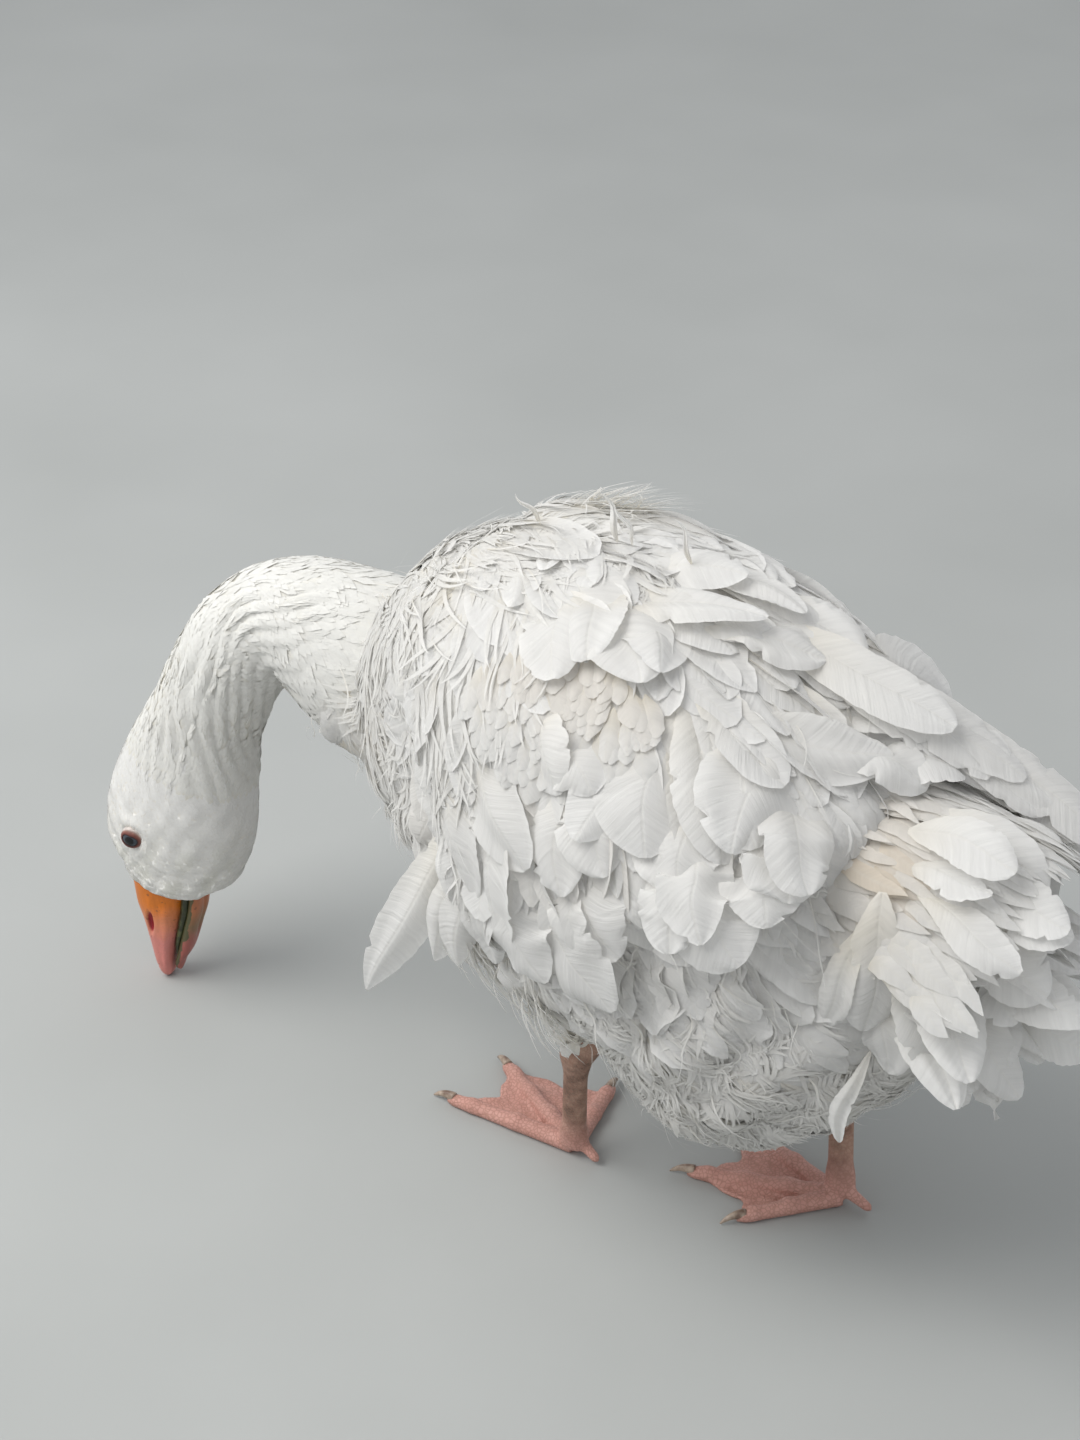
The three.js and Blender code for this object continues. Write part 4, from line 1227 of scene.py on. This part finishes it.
def on_mantle(points, at, angle):
    """The shoulders and the ridge of the back, up to under the neck's feathers."""
    x, y, z = np.moveaxis(points, -1, 0)
    shoulder = (x < -72) & (z > 200) & (x > -225)
    ridge = (z > 300) & (x < -30 - 0.5 * np.abs(y))
    return (at < neck_base_at + 22) & (shoulder | ridge)


def under_neck(at):
    """0 where the mantle's first roots start under the neck feathers' tips, 1 farther back."""
    return smoothstep(at, neck_base_at + 20, neck_base_at - 20)


def shorter_in_front(at):
    """The share of their length that the mantle's feathers have, less towards the neck."""
    return np.interp(at, [neck_base_at - 40, neck_base_at + 20], [1, 0.6])


def mantle_lie(points, angle):
    """Heading and bend of the plumes: forwards and down over the shoulder, in wavy sheaves."""
    fall = np.interp(points[:, 0], [-220, -120, -40, 20], [1.0, 1.9, 1.7, 0.8])
    return downward(angle) * fall + 0.6 * ripples(points, 60, 16), 1.5 * ripples(points, 40, 17)


at, angle, chance = scatter(6.6, on_mantle, 51)
points = skin_points(at, angle)
heading, bend = mantle_lie(points, angle)
short = shorter_in_front(at)
laid = lay(at, angle, heading + chance.normal(0, 0.08, len(at)), chance.uniform(44, 66, len(at)) * short,
           2.4 * short + 0.6 * ripples(points, 26, 46), 12,
           bend=bend + chance.normal(0, 0.15, len(at)), sink=2.9 * under_neck(at) - 0.5)
feathers("mantle_bed", laid, chance.uniform(13, 21, len(at)), (at, angle), down_feather,
         chance, columns=4, fullness=1.1, roundness=0.6, cup=0.15, tint=cream_patch(points))

strands = 7
at, angle, chance = scatter(8.6, on_mantle, 52)
points = np.repeat(skin_points(at, angle), strands, 0)
size = np.repeat(chance.uniform(48, 88, len(at)), strands) * chance.uniform(0.85, 1.1, len(points))
own_lift = np.repeat(chance.normal(0, 0.3, len(at)), strands)
own_bend = np.repeat(chance.normal(0, 0.5, len(at)), strands)
at, angle, lean = locks(at, angle, chance, strands, 11, 0.35)
heading, bend = mantle_lie(points, angle)
short = shorter_in_front(at)
size = size * (1 - 0.5 * smoothstep(points[:, 0], -85, -55)) * short
lift = 3.2 * short + own_lift + ripples(points, 26, 46)
laid = lay(at, angle, heading + lean, size, lift, 10, sink=3.5 * short * under_neck(at) - 0.5,
           bend=bend + own_bend + chance.normal(0, 0.16, len(at)))
feathers("mantle_plumes", laid, chance.uniform(1.8, 4.6, len(at)), (at, angle), down_feather,
         chance, columns=2, fullness=0.9, roundness=0.75, sway=1.8,
         twist=0.3 * ripples(points, 45, 18), tint=cream_patch(points))


def long_curls(points, at, angle):
    """The shoulders and the front of the ridge, where longer curls stand out of the plumes."""
    x, z = points[..., 0], points[..., 2]
    return on_mantle(points, at, angle) & (x > -180) & (x < -48) & (z > 238) & (at < neck_base_at - 6)


strands = 3
at, angle, chance = scatter(16, long_curls, 55)
size = np.repeat(chance.uniform(40, 68, len(at)), strands)
own_bend = np.repeat(either_way(chance, len(at), 0.5, 1.5), strands)
rise = np.repeat(chance.uniform(1, 4, len(at)), strands)
at, angle, lean = locks(at, angle, chance, strands, 6, 0.2)
heading, bend = mantle_lie(skin_points(at, angle), angle)
laid = lay(at, angle, heading + lean - 0.5 * own_bend, size, 4.8, 14,
           bend=0.4 * bend + own_bend, sink=3.2, tip_rise=rise)
feathers("mantle_curls", laid, chance.uniform(2.0, 4.6, len(at)), (at, angle), down_feather,
         chance, columns=2, fullness=0.85, roundness=0.75, sway=2.6)


def below_scapulars(points, at, angle):
    """An oval patch of short down where the scapulars part."""
    return np.linalg.norm((points - np.array([-30, -84, 320])) / (50, 40, 23), axis=-1) < 1


at, angle, chance = scatter(6.5, below_scapulars, 53)
points = skin_points(at, angle)
size = chance.uniform(15, 24, len(at))
heading = downward(angle) * 1.5 + 0.4 * ripples(points, 40, 54)
laid = lay(at, angle, heading, size, 3.2, 8, sink=6.5, bend=chance.normal(0, 0.2, len(at)))
feathers("scapular_down", laid, size * chance.uniform(0.5, 0.7, len(at)), (at, angle), down_feather,
         chance, cup=0.25, wave=0.5, fray=0.2, tint=0.13 * smoothstep(points[:, 2], 316, 334))


# ---- Large wing feathers ----
# Broad smooth feathers that shape the outline: scapulars on the back, those that hang from the
# wings' lower edges, and the flights that reach back over the rump. Below them hang free feathers,
# the fringe of the breast and the tufts round the thighs.

scapulars = [
    ((-61, -37, 358), (-36, -88, 336), 28, 8), ((-51, -35, 358), (-19, -74, 347), 26, 8),
    ((-41, -32, 358), (8, -71, 343), 34, 8), ((-19, -37, 352), (15, -60, 347), 26, 6),
    ((-36, -28, 359), (32, -4, 358), 25, 7), ((-3, -21, 352), (34, 2, 345), 24, 6),
    ((4, -8, 338), (56, 12, 339), 25, 7), ((16, -30, 343), (60, -6, 316), 28, 7),
    ((-16, 15, 355), (36, 18, 352), 22, 6), ((-48, 6, 360), (6, 12, 364), 24, 6),
    ((10, 18, 346), (66, 26, 334), 26, 7), ((-4, 34, 350), (52, 44, 334), 28, 7),
    ((58, 10, 320), (96, 26, 308), 24, 6), ((56, -38, 318), (104, 2, 306), 26, 7),
    ((76, -18, 308), (122, 8, 296), 24, 6), ((84, 4, 304), (132, 22, 294), 25, 6),
]  # root, tip, width, bow
hanging = [
    ((-71, -99, 226), (-56, -106, 172), 24, 7), ((-84, -92, 262), (-66, -110, 208), 30, 8),
    ((-70, -97, 282), (-25, -119, 246), 30, 7), ((-60, -99, 256), (-34, -116, 196), 32, 8),
    ((-42, -92, 307), (-8, -107, 294), 26, 6), ((-23, -88, 313), (8, -104, 298), 26, 6),
    ((-17, -98, 286), (-2, -119, 242), 32, 7), ((-28, -102, 230), (27, -115, 184), 46, 8),
    ((-2, -102, 252), (31, -115, 218), 34, 7), ((-40, -103, 238), (-14, -117, 184), 34, 8),
    ((23, -64, 328), (8, -117, 276), 32, 9), ((20, -76, 317), (38, -108, 276), 36, 8),
    ((42, -102, 274), (68, -118, 240), 24, 6), ((30, -92, 281), (57, -106, 262), 20, 5),
    ((57, -100, 296), (78, -116, 248), 26, 7), ((64, -92, 270), (94, -104, 236), 34, 7),
    ((78, -78, 284), (105, -92, 258), 28, 6), ((92, -66, 302), (106, -86, 268), 30, 7),
    ((57, -46, 322), (80, -90, 286), 38, 8), ((90, -58, 304), (116, -80, 274), 28, 6),
    ((30, -58, 328), (72, -92, 278), 26, 8), ((50, -52, 320), (84, -80, 286), 28, 7),
    ((-8, -96, 292), (24, -112, 262), 30, 7), ((44, -86, 300), (62, -104, 262), 28, 7),
]  # the same on the left wing
breast_edge = [
    ((-84, -93, 244), (-150, -97, 105), 29, 7), ((-72, -94, 228), (-104, -99, 150), 24, 6),
    ((-66, -97, 232), (-82, -104, 158), 26, 7),
]  # three that hang free at the breast, before the left wing
flight_roots = np.array([(14, 12, 342), (90, 36, 308)], float)
flight_tips = np.array([(118, 26, 312), (200, 72, 246)], float)


def along_body(roots, tips, bow, rows):
    """Paths that start from under their neighbours behind the root, follow the skin towards the tip,
    stand off it by the bow and end at the tip itself."""
    at, angle = nearest_roots(roots - (tips - roots) * 0.4)
    here = skin_at_roots(at, angle)
    start, normal = here[:, :3], here[:, 3:6]
    way = tips - start
    length = np.linalg.norm(way, axis=1) * 1.04
    way = way - normal * (way * normal).sum(1, keepdims=True)
    tailward = unit(start - skin_points(at + 2, angle))
    sideways = unit(np.cross(normal, tailward))
    turn = np.arctan2((way * sideways).sum(1), (way * tailward).sum(1))
    turn = turn * np.sign(((skin_points(at, angle + 0.02) - start) * sideways).sum(1))
    path, normals, u = lay(at, angle, turn, length, bow + 5.0, rows, sink=-1.0)
    chord = path[:, :1] + (tips[:, None] - path[:, :1]) * u[:, None]
    chord = chord + normals[:, :1] * (column(bow) * 4 * u * (1 - u))[..., None]
    share = smoothstep(u, 0.1, 0.75)[:, None]
    facing = unit(normals * (1 - 0.7 * share) + normals[:, :1] * 0.7 * share)
    return path * (1 - share) + chord * share, facing, u


def free_feathers(name, given, facing, seed, broader=1.0, sag=0.0, **options):
    """Feathers given as rows of root, tip, width and bow. Without facing they follow the body; with
    it, one vector or a function of the roots, they run through the air, their upper sides that way."""
    chance = np.random.default_rng(seed)
    roots, tips, width, bow = (np.array(values, float) for values in zip(*given))
    count = len(roots)
    if facing is None:
        laid = along_body(roots, tips, bow, 34)
    else:
        vectors = facing(roots) if callable(facing) else np.tile(unit(np.array(facing)), (count, 1))
        laid = in_air(roots, tips, vectors, bow, 34, sag)
    looks = {"fullness": chance.normal(1.4, 0.12, count), "roundness": chance.uniform(0.42, 0.65, count),
             "roll": chance.normal(0, 0.12, count), "twist": chance.normal(0, 0.25, count),
             "sway": 3.0, "cup": 0.14, "wave": 0.6, "fray": 0.05, "split": 0.35, "rib": 0.25, "fold": 1.4}
    feathers(name, laid, width * broader, nearest_roots(roots), vane_feather, chance, columns=13,
             **{**looks, **options})


def mirrored(given):
    """The same rows on the goose's other side."""
    other = np.array([1, -1, 1])
    return [(root * other, tip * other, width, bow) for root, tip, width, bow in given]


chance = np.random.default_rng(60)
count = 15
share = column(np.linspace(0, 1, count))
flights = list(zip(
    flight_roots[0] + (flight_roots[1] - flight_roots[0]) * share + chance.normal(0, 1.5, (count, 3)),
    flight_tips[0] + (flight_tips[1] - flight_tips[0]) * share + chance.normal(0, 4, (count, 3)),
    chance.uniform(24, 34, count), np.full(count, 8)))
free_feathers("scapulars", scapulars, None, 61, broader=1.35)
free_feathers("hanging_left", hanging, None, 62, broader=1.4)
free_feathers("hanging_right", mirrored(hanging), None, 63, broader=1.4)
free_feathers("breast_edge", breast_edge, (0.1, -1.0, 0.25), 65, fullness=1.2, roundness=0.75, cup=0.3,
              twist=0.1, roll=0.1, wave=0.4)

chance = np.random.default_rng(66)
count = 240
share = chance.random((count, 1))
front, back = np.array([-98, -90, 196]), np.array([-30, -92, 168])
roots = front * (1 - share) + back * share + chance.normal(0, 4, (count, 3))
tips = roots + np.array([12, 4, -34]) + chance.normal(0, 1, (count, 3)) * (8, 5, 9)
laid = in_air(roots, tips, np.tile([-1.0, -0.7, -0.3], (count, 1)), chance.uniform(3, 10, count), 14)
feathers("breast_fringe", laid, chance.uniform(1.6, 4.5, count), nearest_roots(roots), down_feather,
         chance, columns=2, fullness=0.85, roundness=0.8, sway=1.2)

roots, tips, outward = [], [], []
count = 130
for leg, raised in zip(legs, (12, 0)):
    turn = chance.uniform(0, 2 * np.pi, count)
    way = np.stack([np.cos(turn), np.sin(turn), 0 * turn], -1)
    top = leg["hock"] + (9, -5 * leg["side"], 20)
    roots.append(top + way * 12 + chance.normal(0, 2, (count, 3)))
    tips.append(leg["hock"] + (0, 0, raised) + way * chance.uniform(9, 15, (count, 1))
                - up * chance.uniform(-10, 10, (count, 1)) + chance.normal(0, 2, (count, 3)))
    outward.append(way + (0, 0, 0.01))
roots, tips, outward = (np.concatenate(rows) for rows in (roots, tips, outward))
laid = in_air(roots, tips, outward, chance.uniform(3, 6, len(roots)), 11)
feathers("thigh_tufts", laid, chance.uniform(3, 8, len(roots)), nearest_roots(roots), down_feather,
         chance, columns=3, fullness=1.0, roundness=0.75, cup=0.2, sway=1.5)
free_feathers("flights", flights, (0.35, -0.3, 0.85), 64, cup=0.15, fullness=1.5, roundness=0.45,
              roll=0.0, twist=0.1, fold=0.7)


# ---- Tail ----
# Broad creased vanes that fan out of the rump, over a bed of soft coverts.

def on_rump(points, at, angle):
    """The rump and the tail's root, farther down the sides the farther back."""
    x, z = points[..., 0], points[..., 2]
    return (x > 62) & (z > 196 - 46 * smoothstep(x, 96, 120)) & (at < neck_base_at)


at, angle, chance = scatter(8.5, on_rump, 70)
points, count = skin_points(at, angle), len(at)
size = chance.uniform(44, 82, count)
heading = downward(angle) * 0.25 + 0.4 * ripples(points, 60, 19) + chance.normal(0, 0.12, count)
lift = 8 + 2 * ripples(points, 35, 47) + chance.normal(0, 0.8, count)
laid = lay(at, angle, heading, size, lift, 15,
           bend=0.5 * ripples(points, 45, 20) + chance.normal(0, 0.2, count))
soil_and_lawn_reflection = 0.35 * bell(np.hypot(points[:, 0] - 118, points[:, 1] + 20) / 22)
feathers("rump_feathers", laid, size * chance.uniform(0.25, 0.45, count), (at, angle), down_feather,
         chance, columns=6, fullness=1.2, cup=0.25, roll=chance.normal(0, 0.1, count),
         wave=0.8, fray=0.15, fold=0.6, tint=soil_and_lawn_reflection)


def rump_height(x, y):
    """Height of the soft cover over the rump: a ridge that falls away behind and to both sides."""
    return 290 - 0.0015 * np.maximum(x - 90, 0)**2 - 0.011 * (y - 8)**2


chance = np.random.default_rng(76)
count = 520
x, y = chance.uniform(50, 155, count), chance.uniform(-58, 66, count)
far_x = np.minimum(x + chance.uniform(34, 60, count), 200)
far_y = y * 1.15 + 6 * ripples(np.stack([x, y, 0 * x], -1), 50, 78)
tips = np.stack([far_x, far_y + chance.normal(0, 2.5, count),
                 rump_height(far_x, far_y) + chance.normal(0, 1.2, count)], -1)
roots = np.stack([x, y, rump_height(x, y) - 6], -1)
outward = unit(np.stack([0.15 + 0 * x, 0.024 * y, 1 + 0 * x], -1))
laid = in_air(roots, tips, outward, chance.uniform(2, 5, count), 13)
soil_and_lawn_reflection = 0.2 * bell(np.hypot(far_x - 136, y + 22) / 26) + 0.5 * bell(np.hypot(far_x - 150, y + 30) / 9)
feathers("rump_cover", laid, chance.uniform(6, 15, count), nearest_roots(roots), down_feather,
         chance, columns=4, fullness=1.1, roundness=0.75, cup=0.15, fray=0.2, sway=2.0, wave=0.4,
         tint=soil_and_lawn_reflection)

tail_root = np.array([112.0, 0.0, 222.0])
tail_named = [
    ((146, -35, 266), (208, -42, 250), 20, 6), ((150, -25, 262), (192, -32, 252), 18, 5),
    ((152, -10, 262), (216, -12, 264), 24, 6), ((162, -15, 246), (210, -18, 225), 30, 7),
    ((168, -10, 226), (228, -12, 212), 24, 6), ((180, 0, 206), (226, 2, 184), 24, 6),
    ((164, -20, 226), (204, -28, 168), 22, 10), ((148, -38, 246), (173, -48, 181), 32, 8),
    ((134, -46, 266), (140, -60, 196), 28, 9), ((134, -52, 254), (119, -68, 195), 16, 9),
    ((136, -50, 178), (127, -63, 126), 9, 9), ((140, -44, 224), (146, -54, 172), 26, 7),
    ((134, -28, 272), (182, -28, 276), 18, 5), ((122, -4, 284), (194, 4, 270), 26, 8),
    ((128, -18, 284), (188, -16, 287), 24, 7), ((166, -8, 258), (216, -10, 256), 26, 6),
]  # root, tip, width, bow of those that can be told apart
far_side_rows = slice(6, 13)  # the rows of tail_named that are mirrored on the right side
tail_fans = [(12, 60, 100, 7, 10, 32), (4, 74, 110, 10, 10, 34), (-6, 80, 116, 13, 10, 36),
             (-17, 84, 112, 13, 10, 36), (-28, 84, 104, 12, 10, 36),
             (-42, 88, 92, 11, 10, 34)]  # pitch and spread in degrees, reach, count, bow, width
chance = np.random.default_rng(71)
tail_rows, tail_faces = [], []
for pitch, spread, reach, count, bow, width in tail_fans:
    for turn in np.linspace(-0.5, 0.5, count) * spread:
        rise = math.radians(pitch + chance.normal(0, 5))
        turn = math.radians(turn + chance.normal(0, 6))
        out = np.array([math.cos(rise) * math.cos(turn), math.cos(rise) * math.sin(turn), math.sin(rise)])
        root = tail_root + out * chance.uniform(-10, 22) + up * pitch * 0.4
        tail_rows.append((root, tail_root + out * reach * chance.uniform(0.66, 1.0),
                          width * chance.uniform(0.8, 1.2), bow * chance.uniform(0.6, 1.4)))
        tail_faces.append(up * math.cos(rise) + chance.normal(0, 0.12, 3)
                          + np.array([-math.sin(rise), 0.9 * math.sin(turn), 0]))
sag = np.random.default_rng(73).uniform(2, 14, len(tail_rows))
free_feathers("tail_vanes", tail_rows, lambda roots: unit(np.array(tail_faces)), 72, wave=1.0,
              fold=2.2, fullness=1.3, cup=0.15, fray=0.07, sag=sag)


def side_face(roots):
    """Facing of the left side's tail feathers, which turns from up to sideways with lower roots."""
    height = roots[:, 2]
    return unit(np.stack([0.25 + 0 * height, np.interp(height, [200, 270], [-0.9, -0.35]),
                          np.interp(height, [200, 270], [0.45, 0.9])], -1))


side_looks = {"rib": 0.3, "fray": 0.07, "fold": 0.9, "roundness": 0.5}
free_feathers("tail_sides", tail_named, side_face, 74, broader=1.15, wave=1.0, **side_looks)
free_feathers("tail_far_side", mirrored(tail_named[far_side_rows]),
              lambda roots: side_face(roots) * (1, -1, 1), 75, wave=1.2, **side_looks)


# ---- Wisps ----
# Thin curled barbs and after-feathers that have worked loose and stand a little out of the coat.

def beside_wing(points, at, angle):
    """The body outside the wing and the wing's own rim."""
    return (at < neck_base_at + 10) & (on_wing(points) < 30)


at, angle, chance = scatter(27, beside_wing, 81)
count = len(at)
laid = lay(at, angle, downward(angle) * chance.uniform(0.2, 1.4, count), chance.uniform(26, 50, count),
           chance.uniform(7, 11, count), 14, bend=chance.normal(0, 0.9, count),
           tip_rise=chance.uniform(-3, 5, count), sink=4)
feathers("loose_wisps", laid, chance.uniform(0.4, 1.1, count), (at, angle), down_feather,
         chance, columns=2, fullness=0.9, roundness=0.7)

ridge = [((-62, -2, 366), (-70, -4, 392), 3, 3), ((-54, 0, 366), (-60, -4, 388), 3, 3),
         ((-22, 6, 364), (-30, 2, 388), 3, 3), ((-108, -6, 362), (-120, -10, 378), 2.5, 3)]
free_feathers("ridge_wisps", ridge, (1.0, -0.6, 0.2), 83, fullness=0.8, roundness=0.8, wave=0.0,
              rib=0.0, split=0.0)


def far_shoulder(points, at, angle):
    """The top of the far shoulder, where a fan of fine barbs stands up behind the ridge."""
    return (np.hypot(points[..., 0] + 104, points[..., 1] - 36) < 17) & (points[..., 2] > 290)


at, angle, chance = scatter(3.6, far_shoulder, 84)
count = len(at)
laid = lay(at, angle, chance.normal(0, 0.4, count), chance.uniform(24, 42, count),
           chance.uniform(12, 20, count), 12, bend=chance.normal(0, 0.5, count), sink=3)
feathers("shoulder_fan", laid, chance.uniform(0.7, 1.6, count), (at, angle), down_feather,
         chance, columns=2, fullness=0.8, roundness=0.8)


# ---- Floor and light ----
# A plain pale floor under soft light from above.

reach = 6  # metres from the middle to each edge
floor_mesh = bpy.data.meshes.new("floor")
floor_mesh.from_pydata([(-reach, -reach, 0), (reach, -reach, 0), (reach, reach, 0), (-reach, reach, 0)],
                       [], [(0, 1, 2, 3)])
floor = in_scene("floor", floor_mesh)
floor.data.materials.append(wandering_material(
    "floor paint", 0.8, 3.0, [(0.3, (0.36, 0.37, 0.36)), (0.7, (0.40, 0.41, 0.40))]))

world = bpy.data.worlds.new("sky")
bpy.context.scene.world = world
world.use_nodes = True
sky = world.node_tree.nodes["Background"]
sky.inputs["Color"].default_value = (0.95, 0.97, 1.0, 1)
sky.inputs["Strength"].default_value = 0.72
for name, place, size, energy, colour in (
        ("sky light", (-0.7, -1.1, 2.0), 1.6, 41.5, (1.0, 0.985, 0.96)),
        ("side light", (-1.6, -0.6, 0.9), 1.2, 6, (0.94, 0.97, 1.0))):
    lamp = bpy.data.lights.new(name, "AREA")
    lamp.size = size
    lamp.energy = energy
    lamp.color = colour
    holder = in_scene(name, lamp)
    holder.location = place
    x, y, z = np.array([0, 0, 0.2]) - place  # it points at the middle of the goose
    holder.rotation_euler = (math.atan2(math.hypot(x, y), -z), 0, math.atan2(x, -y) + math.pi)
bpy.context.scene.view_settings.view_transform = "Standard"
